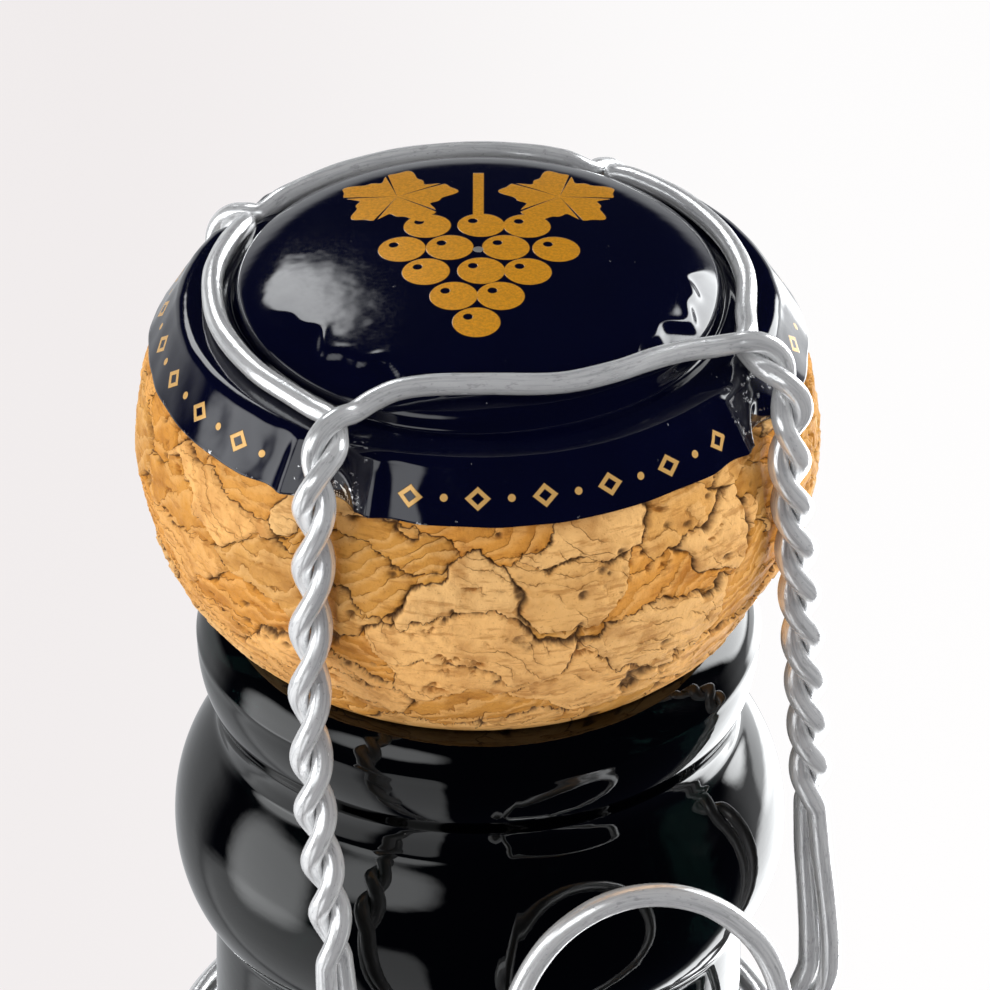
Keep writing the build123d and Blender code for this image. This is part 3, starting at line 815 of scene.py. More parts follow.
class BottleCorkSettings(bpy.types.PropertyGroup):
    """Sizes and colours of the cork."""

    head_radius: length_setting("Head radius", "Radius of the head where it is widest", 15.86)
    shank_radius: length_setting("Shank radius", "Radius inside the bottle's mouth", 8.65)
    grain_step: length_setting("Grain step", "Size of a face on the head", 0.13)
    columns: IntProperty(name="Columns", description="Faces round the head", default=768, min=64)
    light: colour_setting("Light cork", "Colour of the palest granules", (0.86, 0.495, 0.175))
    middle: colour_setting("Middle cork", "Colour of most granules", (0.64, 0.295, 0.048))
    deep: colour_setting("Deep cork", "Colour of brown patches", (0.35, 0.125, 0.010))
    # Near-black painted shade for the cracks between granules, the pits, the crevices and the flake edges
    crack: colour_setting("Cracks", "Colour between the granules", (0.045, 0.013, 0.002))


class BOTTLE_OT_cork(bpy.types.Operator):
    """Adds the cork's granule body and finishes the two discs under it"""

    bl_idname = "bottle.add_cork"
    bl_label = "Add the cork"

    def execute(self, context):
        settings = context.scene.bottle_cork
        cork = turned_piece("cork_granule_body", cork_outline(settings), settings.columns, cork_shape)
        relieved(cork, "cork_relief", cork_height)
        seated(cork, "cork", "cork_granules", cork_material(settings), "cork_body")
        disc = disc_material()
        for node in ("cork_disc_upper", "cork_disc_lower"):
            finished_node(node, disc)
        return {"FINISHED"}


# Cap plate


def cap_outline(settings):
    """Section of the pressed sheet: its outside from the dome to the rim, then its inside."""
    sheet, rim = settings.sheet / MM, RIM_RISE - 0.07
    outside = Outline(DOME_RISE * 1j)
    outside.arc(8.6 + 17.74j, 1, 0.25)
    outside.arc(10.85 + 16.82j, np.exp(-0.158j), 0.12)
    outside.arc(11.12 + 16.45j, np.exp(-0.62j), 0.06)
    outside.line(11.25 + 16.0j, 0.1)
    outside.arc(11.6 + 15.74j, 0.35 - 1j, 0.1)
    outside.line(13.3 + 15.72j, 0.15)
    outside.arc(13.93 + 15.3j, 1, 0.08)
    outside.lines((14.05 + 15.08j, 0.08), (15.1 + 13.35j, 0.15), (RIM_RADIUS + RIM_RISE * 1j, 0.08))
    points = np.array(outside.points)
    ways = np.gradient(points)
    inside = (points - 1j * ways / abs(ways) * sheet)[::-1]
    inside[0] = RIM_RADIUS - sheet + RIM_RISE * 1j
    inside[-1] = 1j * (DOME_RISE - sheet)
    edge = [RIM_RADIUS - sheet * share + rim * 1j for share in (0.3, 0.7)]
    return list(points), edge + list(inside)


# Radius at which the dome gives way to each front leg, how far it sinks, and half the width in degrees
DOME_FOLDS = {"front_left": (9.0, 0.36, 32.0), "front_right": (9.6, 0.22, 24.0)}


def cap_shape(radius, azimuth, rise):
    """The legs' dents with folds beside them, the dome pulled down towards the front legs, and a wavy rim."""
    dent_reach, far_out = 1.66, 99.0
    skirt = eased((radius - 13.3) / 1.2)
    shaped, lifted = radius.copy(), rise.copy()
    for name, start in LEG_AZIMUTHS.items():
        front = name in DOME_FOLDS
        beside = arc_distance(azimuth, start, 15.0)
        away = abs(beside)
        dent = trough(15.95 if front else 14.65, dent_reach, beside)
        pressed = np.where(away < dent_reach, dent, far_out)
        shaped = np.where(radius > 12.9, soft_least(shaped, pressed, 0.10), shaped)
        fold = bell(away - 2.2, 0.34) - 0.7 * bell(away - 3.2, 0.6)
        second = bell(away - 4.3 - 0.25 * np.sin(rise * 3.0), 0.5)
        shaped = shaped + (fold * 0.17 + second * 0.05) * skirt
        lifted = lifted + bell(beside, 2.2) * 0.10 * skirt
        sunk = bell(beside, 1.5) * eased((radius - 12.2) / 0.6) * eased((14.9 - radius) / 0.8)
        lifted = lifted - sunk * (0.10 if front else 0.50)
        if front:
            reach, depth, width = DOME_FOLDS[name]
            wavy = reach + ripples(azimuth, rise, (0.28, 13, 0.0, 0.0), (0.17, 29, 0.0, 1.0))
            drop = eased((radius - wavy) / 0.9) * eased((11.9 - radius) / 0.9)
            ridge = 0.17 * bell(radius - wavy - 0.45, 0.26)
            lifted = lifted - (depth * drop - ridge) * np.exp(-((degrees_from(azimuth, start) / width) ** 4))
    wrinkle = np.sin(np.radians(23 * azimuth) + ripples(azimuth, rise, (1.7, 5, 0.0, 0.0)))
    wrinkle = wrinkle + ripples(azimuth, rise, (0.7, 37, 2.0, 0.0), (0.8, 9, 0.0, 0.4))
    shaped = shaped + wrinkle * 0.022 * eased((radius - 13.0) / 2.0)
    return shaped, lifted + ripples(azimuth, rise, (0.05, 6, 0.0, 0.8)) * skirt


def grape_art(place):
    """A bunch of grapes with two vine leaves on the dome, as a share of print."""
    grapes, top_row, row_step, grape_step = (3, 4, 3, 2, 1), 2.2, 2.0, 2.34
    leaf_place, leaf_size = (3.75, 5.25), 2.3
    flat = place.flat()
    print_share = abs(flat.part(0)).fall(0.22, 0.27) * band(flat.part(1), 2.9, 7.6, 0.05)
    for row, count in enumerate(grapes):
        for number in range(count):
            across = (number - (count - 1) / 2) * grape_step + 0.14 * np.sin(3.0 * row + 2.0 * number)
            along = top_row - row * row_step
            grape = (flat - (across, along, 0.0)).length().fall(1.06, 1.11)
            shine = (flat - (across - 0.38, along + 0.40, 0.0)).length().rise(0.20, 0.25)
            print_share = print_share.most(grape * shine)
    for side in (-1, 1):
        turned = flat - (side * leaf_place[0], leaf_place[1], 0.0)
        angle = turned.part(1).angle(turned.part(0) * side)
        lobes = (angle * 5.0 - 0.5).sine() * 0.48 + (angle * 15.0).sine() * 0.12
        leaf = (turned.length() - (lobes + leaf_size)).fall(-0.03, 0.03)
        vein = abs((angle * 2.5 - 0.25).sine()).rise(0.05, 0.09)
        print_share = print_share.most(leaf * vein)
    return print_share


def skirt_art(place):
    """Small lozenges with dots between them, in a row round the skirt."""
    pitch, skirt_radius, middle_rise = 12.0, 14.7, 14.25
    pitch_length = pitch * (skirt_radius * np.pi / 180)
    step = place.part(1).angle(place.part(0)) * (180 / np.pi) / pitch
    along = (place.part(2) - middle_rise) * 1.15
    across, between = ((turn - turn.whole() - 0.5) * pitch_length for turn in (step, step + 0.5))
    size = abs(across) * 0.9 + abs(along)
    dot = (between * between + along * along).fall(0.026, 0.036)
    return (size.fall(0.50, 0.56) * size.rise(0.24, 0.30)).most(dot)


def cap_material(settings):
    graph = new_material("cap_enamel")
    place = graph.place()
    gold, tin = settings.gold, (0.55, 0.55, 0.56)
    gold_grain = graph.noise(place, 7.0, 2.0, 0.7)
    gold_cloud = graph.noise(place, 0.6, 2.0)
    on_dome = place.flat().length().fall(10.2, 10.3) * (place.part(2) > 16.4)
    dome_print = grape_art(place) * on_dome
    near_leg = 0.0
    for start in LEG_AZIMUTHS.values():
        leg_place = (14.5 * np.cos(np.radians(start)), 14.5 * np.sin(np.radians(start)), 0.0)
        near_leg = (place.flat() - leg_place).length().fall(1.3, 3.0).most(near_leg)
    skirt_print = skirt_art(place) * (place.flat().length() > 13.9) * (near_leg < 0.02)
    printed = dome_print.most(skirt_print)
    foil = graph.mix(gold_grain.rise(0.3, 0.7), gold, gold * 0.72)
    foil = graph.mix(gold_cloud.rise(0.4, 0.8) * 0.3, foil, gold * 0.8)
    rim = place.part(2).fall(13.22, 13.42)
    wear = graph.noise(place, 2.3, 4.0, 0.65)
    chip = (wear + near_leg * 0.13 + rim * 0.10).rise(0.735, 0.76)
    enamel = graph.mix(graph.noise(place, 0.25), settings.enamel, settings.enamel * 1.6)
    colour = graph.mix(dome_print, enamel, foil)
    colour = graph.mix(skirt_print, colour, settings.pale_gold)
    peel = graph.noise(place, 1.1, 1.0, 0.4) * 0.5 + graph.noise(place, 0.45, 1.0) * 0.8
    dust = graph.noise(place, 5.0, 3.0, 0.6)
    height = peel + printed * 0.35 - chip * 0.8 + gold_grain * printed * 0.15
    enamel_roughness = dust.rise(0.35, 0.75, 0.07, 0.13)
    gold_roughness = gold_grain.rise(0.2, 0.8, 0.28, 0.42)
    return finish_surface(
        graph,
        {
            "Base Color": graph.mix(chip, colour, tin),
            "Metallic": (printed * 0.3).most(chip * 0.9),
            "Roughness": graph.mix(printed, enamel_roughness, gold_roughness),
            "Coat Weight": 0.2,
            "Coat Roughness": 0.06,
            "Normal": graph.bump(height, 0.045, 0.55),
        },
    )


def tin_material():
    """The bare inside of the cap plate, lacquered tin with fine scratches."""
    graph = new_material("cap_inside")
    place = graph.place()
    scratch = graph.noise(place * (0.4, 5.0, 1.0), 1.0, 3.0)
    tin = [(0.3, (0.62, 0.60, 0.55)), (0.7, (0.74, 0.73, 0.70))]
    return finish_surface(
        graph,
        {
            "Base Color": graph.ramp(graph.noise(place, 0.4, 3.0), tin),
            "Metallic": 1.0,
            "Roughness": scratch.rise(0.3, 0.7, 0.28, 0.42),
            "Normal": graph.bump(scratch, 0.02),
        },
    )


class BottleCapSettings(bpy.types.PropertyGroup):
    """Sizes and colours of the cap plate."""

    sheet: length_setting("Sheet", "Thickness of the pressed sheet", 0.25)
    columns: IntProperty(name="Columns", description="Faces round the cap plate", default=640, min=64)
    enamel: colour_setting("Enamel", "Colour of the glossy ground", (0.0006, 0.0009, 0.0075))
    gold: colour_setting("Gold print", "Colour of the print on the dome", (0.80, 0.34, 0.008))
    pale_gold: colour_setting("Pale gold print", "Colour of the print on the skirt", (0.72, 0.42, 0.13))


class BOTTLE_OT_cap(bpy.types.Operator):
    """Adds the enamelled cap plate that keeps the wires off the cork"""

    bl_idname = "bottle.add_cap"
    bl_label = "Add the cap plate"

    def execute(self, context):
        settings = context.scene.bottle_cap
        outside, inside = cap_outline(settings)
        cap = turned_piece("cap_enamel_plate", outside + inside, settings.columns, cap_shape)
        seated(cap, "cage", "cap_enamel", cap_material(settings), "cap_plate")
        cap.data.materials.append(tin_material())
        for face in cap.data.polygons[(len(outside) - 1) * settings.columns :]:
            face.material_index = 1
        return {"FINISHED"}


# Cage


# Half turns of each leg's strands, by the run from its top
LEG_TWISTS = {
    "front_left": [(0.0, 0.0), (1.52, 0.5), (3.07, 1.0), (5.98, 2.0), (9.2, 3.0), (16.1, 5.0), (19.6, 6.0),
                   (22.3, 7.0), (25.1, 8.0), (27.8, 9.0), (29.9, 9.62), (36.0, 9.85)],
    "front_right": [(0.0, 0.0), (1.5, 0.5), (2.9, 1.0), (5.5, 2.0), (26.7, 10.0), (27.8, 10.3), (36.0, 10.5)],
    "back_right": [(0.0, -0.1), (1.9, 0.05), (3.3, 0.5), (4.7, 1.0), (22.9, 8.0), (25.4, 9.0), (27.0, 9.4),
                   (33.0, 9.6)],
    "back_left": [(0.0, -0.1), (1.7, 0.05), (3.1, 0.5), (4.5, 1.0), (7.1, 2.0), (9.8, 3.0), (25.4, 9.0),
                  (27.0, 9.4), (33.0, 9.6)],
}


def bend_run(name):
    """Length of a leg's bend over the cap's shoulder."""
    bend, first = leg_bend(name)[1:3]
    return bend * np.radians(90 - first)


def leg_axis(name, run):
    """Radius, azimuth and rise of a leg's middle line, a run from where it starts on the cap."""
    start, bend, first, end = leg_bend(name)
    angle = np.radians(first) + run / bend
    bent = angle < np.pi / 2
    rise = np.where(bent, end + bend * np.cos(angle), end - run + bend_run(name))
    radius = np.where(bent, start - bend * (1 - np.sin(angle)), leg_radius(name, rise))
    return radius, leg_azimuth(name, rise), rise


def leg_strand(name, first_angle, diameter, belt_diameter):
    """Points of one strand from near the crossing on the cap down to the foot of its eye."""
    table = np.array(LEG_TWISTS[name])
    first_run, step, nudge, eye_drop, loose = 0.9, 0.2, 0.01, 24.5, 1.5
    strand_gap, eye_gap = 0.012, 0.08
    straight_run = bend_run(name) + leg_bend(name)[3]
    runs = np.arange(first_run, straight_run + BELT_DROP, step)
    points = polar(*leg_axis(name, runs))
    along = polar(*leg_axis(name, runs + nudge)) - points
    along /= np.linalg.norm(along, axis=1)[:, None]
    flat = points * (1, 1, 0)
    flat /= np.linalg.norm(flat, axis=1)[:, None]
    across = np.stack([-flat[:, 1], flat[:, 0], 0 * flat[:, 0]], axis=-1)
    out = np.cross(along, across)
    last_run, last_turn = table[-1]
    open_share = eased((runs - last_run - loose) / (straight_run + eye_drop - last_run - loose))
    half_turns = np.interp(runs, table[:, 0], table[:, 1])
    half_turns = half_turns + (np.ceil(last_turn) + 0.5 - last_turn) * open_share
    offset = diameter / 2 + strand_gap + (belt_diameter / 2 + eye_gap) * open_share
    turn = first_angle + LEG_HANDS[name] * np.pi * half_turns
    return points + (across * np.cos(turn)[:, None] + out * np.sin(turn)[:, None]) * offset[:, None]


# Azimuth, radius and rise of points along each top wire, from a leg to the next
TOP_ARCS = {
    "front_left": [(247.5, 12.05, 17.35), (251.0, 11.5, 17.65), (258.0, 10.9, 17.8), (270.0, 10.62, 17.85),
                   (290.0, 11.1, 17.8), (303.0, 11.25, 17.75), (315.0, 11.35, 17.6), (322.0, 11.7, 17.42),
                   (328.0, 12.3, 17.2)],
    "front_right": [(343.0, 12.8, 16.4), (350.0, 12.4, 16.3), (5.0, 12.3, 16.28), (22.0, 12.25, 16.28),
                    (38.0, 12.25, 16.27), (48.0, 12.3, 16.22), (54.0, 12.45, 16.1)],
    "back_right": [(71.5, 12.45, 16.1), (77.0, 12.3, 16.22), (88.0, 12.25, 16.27), (105.0, 12.2, 16.27),
                   (120.0, 12.2, 16.25), (130.0, 12.25, 16.18), (137.0, 12.4, 16.08)],
    "back_left": [(154.0, 12.4, 16.05), (160.0, 12.3, 16.18), (174.0, 12.25, 16.28), (195.0, 12.2, 16.28),
                  (215.0, 12.25, 16.28), (227.0, 12.35, 16.28), (233.5, 12.55, 16.26)],
}


# Step along the path of a wire
PATH_STEP = 0.2


def eye_turn(name, start, end):
    """Points of the eye under the belt, from the foot of one strand to the other's."""
    foot = polar(BELT_RADIUS, leg_azimuth(name, -BELT_DROP), -BELT_DROP)
    steps = np.linspace(0, np.pi, 17)[1:-1, None]
    down = np.array([0, 0, -np.linalg.norm(start - foot)])
    return foot + (start - end) / 2 * np.cos(steps) + down * np.sin(steps)


def bridge(before, after):
    """Points of a smooth bend from the end of one run of points to the start of the next."""
    start, end = before[-1], after[0]
    length = np.linalg.norm(end - start)
    leave, arrive = (
        (there - here) / np.linalg.norm(there - here) * length for here, there in (before[-2:], after[:2])
    )
    t = np.linspace(0, 1, max(3, int(length / PATH_STEP)) + 1)[1:-1, None]
    fixed = start * (1 + 2 * t) * (1 - t) ** 2 + end * t * t * (3 - 2 * t)
    return fixed + leave * t * (1 - t) ** 2 + arrive * t * t * (t - 1)


def cage_route(wire, belt):
    """The closed path through all legs and top wires, and where on it each of them starts."""
    points, names, marks = [], [], []
    strands = {name: [leg_strand(name, turn, wire, belt) for turn in (np.pi, 0.0)] for name in LEGS}
    for name, after in zip(LEGS, LEGS[1:] + LEGS[:1]):
        left, right = strands[name]
        azimuth, radius, rise = np.array(TOP_ARCS[name]).T
        arc = curved_through(polar(radius, azimuth, rise), 0.3)
        names += ["leg_" + name, "top_" + name]
        marks.append(len(points))
        points.extend([*left, *eye_turn(name, left[-1], right[-1]), *right[::-1]])
        marks.append(len(points) - 1)
        points.extend([*bridge(right[::-1], arc), *arc, *bridge(arc, strands[after][0])])
    points = np.array(points)
    runs = np.linalg.norm(np.roll(points, -1, axis=0) - points, axis=1)
    starts = np.concatenate([[0], np.cumsum(np.maximum(1, np.ceil(runs / PATH_STEP)).astype(int))])
    path = smoothed(curved_through(points, PATH_STEP, closed=True), 1.2, closed=True)
    return path, dict(zip(names, starts[marks]))


def wire_material(settings):
    """Galvanised wire: bright, with drawn streaks, dull patches, scuffs and small pits."""
    graph = new_material("galvanised_wire")
    place, drawn = graph.place(), graph.place("drawn")
    grey, dark = (0.70, 0.71, 0.72), (0.28, 0.28, 0.285)
    streak = graph.noise(drawn * (0.35, 7.0, 7.0), 1.0, 3.0, 0.6)
    patch = graph.noise(place, 0.55, 3.0, 0.6)
    pits = graph.noise(drawn * (5.0, 9.0, 9.0), 1.0, 2.0, 0.6)
    scuff = graph.noise(drawn * (1.4, 4.0, 4.0) + 9.0, 1.0, 3.0, 0.65).rise(0.56, 0.68)
    body = graph.mix(streak.rise(0.40, 0.72), settings.zinc, grey)
    body = graph.mix(patch.rise(0.50, 0.78) * 0.4, body, grey)
    body = graph.mix(scuff * 0.35, body, dark)
    body = graph.mix(pits.rise(0.62, 0.74) * 0.4, body, dark)
    return finish_surface(
        graph,
        {
            "Base Color": body,
            "Metallic": 0.6,
            "Roughness": (patch * 0.6 + streak * 0.4).rise(0.35, 0.7, 0.17, 0.28),
            "Normal": graph.bump(streak * 0.5 + pits * 0.6 - scuff * 0.4, 0.018, 0.6),
        },
    )


class BottleCageSettings(bpy.types.PropertyGroup):
    """Sizes and colours of the wire cage."""

    wire_diameter: length_setting("Wire", "Thickness of the cage's wire", 1.0)
    belt_diameter: length_setting("Belt wire", "Thickness of the belt and the pull loop", 1.1)
    sides: IntProperty(name="Sides", description="Faces round a wire", default=22, min=8)
    zinc: colour_setting("Zinc", "Colour of the bright metal", (0.97, 0.975, 0.98))


class BOTTLE_OT_cage(bpy.types.Operator):
    """Adds the cage's four twisted legs and the wires that join them over the cap"""

    bl_idname = "bottle.add_cage"
    bl_label = "Add the wire cage"

    def execute(self, context):
        settings = context.scene.bottle_cage
        material = wire_material(settings)
        wire = settings.wire_diameter / MM
        path, starts = cage_route(wire, settings.belt_diameter / MM)
        rings, straight = wire_rings(np.vstack([path, path[:1]]), wire, settings.sides)
        cuts = [*starts.values(), len(path)]
        for name, first, last in zip(starts, cuts, cuts[1:]):
            piece = wire_piece("wire_" + name, rings[first : last + 1], straight[first : last + 1])
            node = "cage_top_wire" if name.startswith("top_") else "cage_" + name
            seated(piece, "cage", "wire", material, node)
        return {"FINISHED"}


# Belt and pull loop


def belt_path(settings):
    """The belt, from one end turned out beside the loop's foot, round the neck to the other."""
    azimuth, gap = settings.azimuth, 8.6
    way, side = polar(1.0, azimuth, -LIP), polar(1.0, azimuth + 90, -LIP)
    foot = polar(0.0, 0.0, -BELT_DROP)
    end = [(settings.hinge_radius / MM - 0.7, 0.58), (16.2, 0.60), (15.35, 0.8)]
    first = [foot + way * radius + side * across for radius, across in end]
    last = [foot + way * radius - side * across for radius, across in end[::-1]]
    middle = polar(BELT_RADIUS, azimuth + np.linspace(gap, 360 - gap, 41), -BELT_DROP)
    return respaced(curved_through(np.vstack([first, middle, last]), 0.2), 0.25)


# Places across the eye and over the belt of points round the pull loop's eye
LOOP_EYE = (
    (-2.6, 9.2), (-5.0, 10.9), (-6.25, 13.2), (-5.9, 16.0), (-4.3, 18.9), (-2.0, 20.6), (0.2, 21.0),
    (2.6, 20.3), (4.9, 18.2), (6.15, 15.4), (6.2, 12.9), (4.9, 10.7), (2.5, 9.1),
)


def loop_path(settings):
    """The pull loop in its own plane: up one strand of the stem, round the eye and down the other."""
    offset, stem_bottom, stem_length = 0.56, 0.7, 6.9
    facing = settings.azimuth + settings.yaw
    across, out = polar(1.0, facing + 90, -LIP), polar(1.0, facing, -LIP)
    foot = polar(settings.hinge_radius / MM, settings.azimuth, -BELT_DROP)
    up = np.array([0, 0, 1.0])
    rises = np.arange(stem_bottom, stem_bottom + stem_length, 0.25)
    strands = []
    for first_angle in (np.pi, 0.0):
        turn = (first_angle + 2 * np.pi * (rises - stem_bottom) / stem_length)[:, None]
        strands.append(foot + up * rises[:, None] + (across * np.cos(turn) + out * np.sin(turn)) * offset)
    eye = [foot + across * sideways + up * rise for sideways, rise in LOOP_EYE]
    points = np.vstack([strands[0], eye, strands[1][::-1]])
    return respaced(smoothed(curved_through(points, 0.15), 2.0), 0.2)


class BottleLoopSettings(bpy.types.PropertyGroup):
    """Place of the pull loop on the belt."""

    azimuth: FloatProperty(name="Place", description="Azimuth of the loop's foot, in degrees", default=296.0)
    yaw: FloatProperty(name="Turn", description="Turn of the loop from facing out, in degrees", default=-18.0)
    hinge_radius: length_setting("Hinge radius", "Distance of the loop's foot from the axis", 17.65)


class BOTTLE_OT_belt(bpy.types.Operator):
    """Adds the belt that holds the legs under the ring, and its pull loop"""

    bl_idname = "bottle.add_belt"
    bl_label = "Add the belt and pull loop"

    def execute(self, context):
        cage, loop = context.scene.bottle_cage, context.scene.bottle_loop
        material, wire, blunt = wire_material(cage), cage.belt_diameter / MM, 0.3
        belt = wire_piece("wire_belt", *wire_rings(belt_path(loop), wire, cage.sides, blunt))
        seated(belt, "cage", "wire", material, "belt_wire")
        pull = wire_piece("wire_pull_loop", *wire_rings(loop_path(loop), wire, cage.sides + 6, blunt))
        seated(pull, "loop", "wire", material, "belt_loop")
        return {"FINISHED"}


# Stage


# Middle and half size of what the studio shows to smooth surfaces, softness of its edge, and brightness.
# Each place is an azimuth in degrees, from behind the bottle to its right, and a rise from -1 to 1.
ROOM_CARDS = (
    ((-24.0, 0.59), (14.0, 0.13), 0.45, 4.4),
    ((46.0, 0.33), (16.5, 0.33), 0.5, 7.5),
    ((-98.0, 0.0), (19.0, 0.40), 0.7, 2.6),
    ((-140.0, 0.43), (23.0, 0.20), 0.8, 2.0),
    ((33.0, -0.22), (18.0, 0.16), 0.5, 1.5),
    ((38.0, -0.62), (26.0, 0.34), 0.4, 3.6),
    ((-96.0, -0.60), (34.0, 0.36), 0.4, 0.8),
    ((-152.0, -0.60), (11.0, 0.36), 0.5, 0.8),
)
# Height of the cork's middle in metres, for the camera and the lamps, and the white of the background
CORK_MIDDLE = (LIP + 5.0) * MM
WHITE = (1.0, 0.99, 0.985)


def area_lamp(name, azimuth, elevation, size, radiance):
    """A soft panel of light that faces the cork, its azimuth measured from behind the bottle to its right."""
    distance = 0.8
    data = bpy.data.lights.new(name, "AREA")
    data.shape = "RECTANGLE"
    data.size, data.size_y = size
    data.energy = radiance * np.pi * size[0] * size[1]
    lamp = bpy.data.objects.new(name, data)
    across, up = np.radians(azimuth), np.radians(elevation)
    way = Vector((np.cos(up) * np.sin(across), np.cos(up) * np.cos(across), np.sin(up)))
    lamp.location = way * distance + Vector((0, 0, CORK_MIDDLE))
    lamp.rotation_euler = way.to_track_quat("Z", "Y").to_euler()
    lamp.visible_glossy = False
    bpy.context.scene.collection.objects.link(lamp)


def band(value, low, high, soft):
    """1 between two values and 0 outside, with soft edges."""
    return value.rise(low - soft, low + soft) * value.fall(high - soft, high + soft)


def card(azimuth, up, middle, half, soft):
    """1 on a card with round corners, by its middle and half its size in degrees and in rise, 0 beside it."""
    across = abs((azimuth - middle[0]) / half[0]) ** 3
    return (across + abs((up - middle[1]) / half[1]) ** 3).fall(1 - soft, 1 + soft)


def room(way):
    """What smooth surfaces reflect along a way: a dark studio with windows and pale card round the bottle."""
    dark, pale, behind = (0.012, 0.014, 0.026), (0.98, 1.0, 1.01), 0.55
    azimuth = way.part(0).angle(way.part(1)) * (180 / np.pi)
    up = way.part(2)
    light = band(azimuth, -62.0, 66.0, 9.0) * up.fall(0.05, 0.24) * behind
    for middle, half, soft, bright in ROOM_CARDS:
        light = light + card(azimuth, up, middle, half, soft) * bright
    return dark + light * pale


def stage_floor(settings):
    """A pale floor that shows its own colour to the camera and still takes the bottle's shadow. Its colour is
    painted light: darker on its left and lit white on its right.
    """
    half, under, lit = 4.0, 0.0002, (1.0, 0.99, 0.99)
    mesh = bpy.data.meshes.new("floor")
    corners = [(-half, -half, 0), (half, -half, 0), (half, half, 0), (-half, half, 0)]
    mesh.from_pydata(corners, [], [(0, 1, 2, 3)])
    floor = bpy.data.objects.new("floor", mesh)
    floor.location.z = -under
    bpy.context.scene.collection.objects.link(floor)
    graph = new_material("pale_floor")
    place = graph.object_place()
    glossy = graph.ray("Is Glossy Ray")
    seen = graph.ray("Is Camera Ray").most(graph.ray("Is Transmission Ray"))
    # Painted light falloff: the floor's colour runs from the darker floor setting on its left to lit white on
    # its right
    cloud = graph.noise(place, 6.0, 2.0)
    bright = (place.part(0) * 7.0 + cloud * 0.1).rise(-0.3, 0.35)
    colour = graph.mix(bright, settings.floor, lit)
    below = place - (0.0, 0.0, LIP * MM)
    shown = graph.mix(glossy, colour, room(below / below.length()))
    matt = graph.node("ShaderNodeBsdfDiffuse", {}, {"Color": colour}, "BSDF")
    glow = graph.node("ShaderNodeEmission", {}, {"Color": shown, "Strength": 1.0}, "Emission")
    shares = {0: (seen * 0.82).most(glossy), 1: matt, 2: glow}
    surface = graph.node("ShaderNodeMixShader", {}, shares, "Shader")
    graph.finish("ShaderNodeOutputMaterial", "Surface", surface)
    floor.data.materials.append(graph.owner)


def stage_world(settings):
    """Plain white for the camera and for diffuse light, and the studio for reflections."""
    world = bpy.data.worlds.new("studio")
    world.use_nodes = True
    world.node_tree.nodes.clear()
    graph = Graph(world.node_tree)
    seen = graph.ray("Is Camera Ray").most(graph.ray("Is Transmission Ray"))
    way = graph.node("ShaderNodeTexCoord", {}, {}, "Generated")
    colour = graph.mix(graph.ray("Is Glossy Ray"), (settings.ambient,) * 3, room(way))
    sockets = {"Color": graph.mix(seen, colour, WHITE), "Strength": 1.0}
    background = graph.node("ShaderNodeBackground", {}, sockets, "Background")
    graph.finish("ShaderNodeOutputWorld", "Surface", background)
    bpy.context.scene.world = world


def stage_camera(settings):
    """A long lens that looks down on the cork from the front."""
    data = bpy.data.cameras.new("view")
    data.sensor_width = 36.0
    data.lens = settings.lens
    data.clip_start = 0.01
    camera = bpy.data.objects.new("view", data)
    pitch = np.radians(settings.pitch)
    target = Vector((settings.aside, 0, CORK_MIDDLE))
    camera.location = target + Vector((0, -np.cos(pitch), np.sin(pitch))) * settings.distance
    camera.rotation_euler = (target - camera.location).to_track_quat("-Z", "Y").to_euler()
    bpy.context.scene.collection.objects.link(camera)
    bpy.context.scene.camera = camera


class BottleStageSettings(bpy.types.PropertyGroup):
    """Camera, light and floor."""

    pitch: FloatProperty(name="Pitch", description="How far the camera looks down, in degrees", default=33.07)
    distance: length_setting("Distance", "From the camera to the cork", 420)
    aside: length_setting("Aside", "How far right of the axis the camera looks", 0.767)
    lens: FloatProperty(name="Lens", description="Focal length in millimetres", default=328.4)
    ambient: FloatProperty(name="Ambient", description="Strength of the light from all round", default=0.66)
    # Colour of the floor's painted shade side; its right side is painted lit white
    floor: colour_setting("Floor", "Colour of the floor at its darker side", (0.89, 0.855, 0.855))


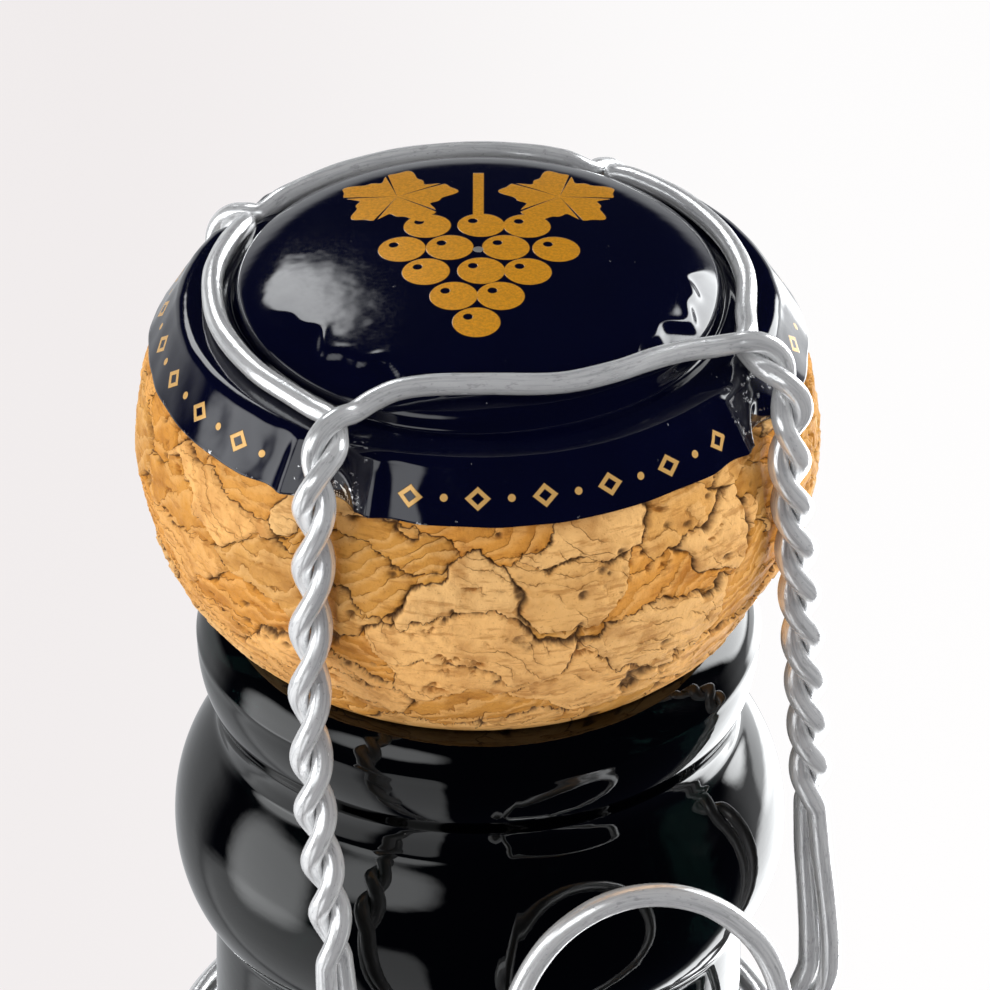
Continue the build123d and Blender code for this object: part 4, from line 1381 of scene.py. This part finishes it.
class BOTTLE_OT_stage(bpy.types.Operator):
    """Adds the pale floor, the soft light and the camera"""

    bl_idname = "bottle.add_stage"
    bl_label = "Add the stage"

    def execute(self, context):
        settings = context.scene.bottle_stage
        stage_floor(settings)
        stage_world(settings)
        stage_camera(settings)
        area_lamp("lamp_left", -107.0, 13.0, (1.0, 0.5), 3.0)
        area_lamp("lamp_right", 84.0, 17.0, (0.35, 0.5), 7.8)
        context.scene.view_settings.view_transform = "Standard"
        return {"FINISHED"}


class BOTTLE_PT_panel(bpy.types.Panel):
    """The bottle's pieces and their sizes"""

    bl_label = "Champagne bottle"
    bl_idname = "BOTTLE_PT_panel"
    bl_space_type = "VIEW_3D"
    bl_region_type = "UI"
    bl_category = "Bottle"

    def draw(self, context):
        for kind in OPERATORS:
            self.layout.operator(kind.bl_idname)
        for key, kind in SETTINGS.items():
            box = self.layout.box()
            for name in kind.__annotations__:
                box.prop(getattr(context.scene, key), name)


SETTINGS = {
    "bottle_glass": BottleGlassSettings,
    "bottle_cork": BottleCorkSettings,
    "bottle_cap": BottleCapSettings,
    "bottle_cage": BottleCageSettings,
    "bottle_loop": BottleLoopSettings,
    "bottle_stage": BottleStageSettings,
}
OPERATORS = (BOTTLE_OT_glass, BOTTLE_OT_cork, BOTTLE_OT_cap, BOTTLE_OT_cage, BOTTLE_OT_belt, BOTTLE_OT_stage)
KINDS = (*SETTINGS.values(), *OPERATORS, BOTTLE_PT_panel)


def register():
    for kind in KINDS:
        bpy.utils.register_class(kind)
    for key, kind in SETTINGS.items():
        setattr(bpy.types.Scene, key, PointerProperty(type=kind))


def unregister():
    for key in SETTINGS:
        delattr(bpy.types.Scene, key)
    for kind in reversed(KINDS):
        bpy.utils.unregister_class(kind)


def main():
    register()
    bpy.ops.bottle.add_glass()
    bpy.ops.bottle.add_cork()
    bpy.ops.bottle.add_cap()
    bpy.ops.bottle.add_cage()
    bpy.ops.bottle.add_belt()
    bpy.ops.bottle.add_stage()


if __name__ == "__main__":
    main()
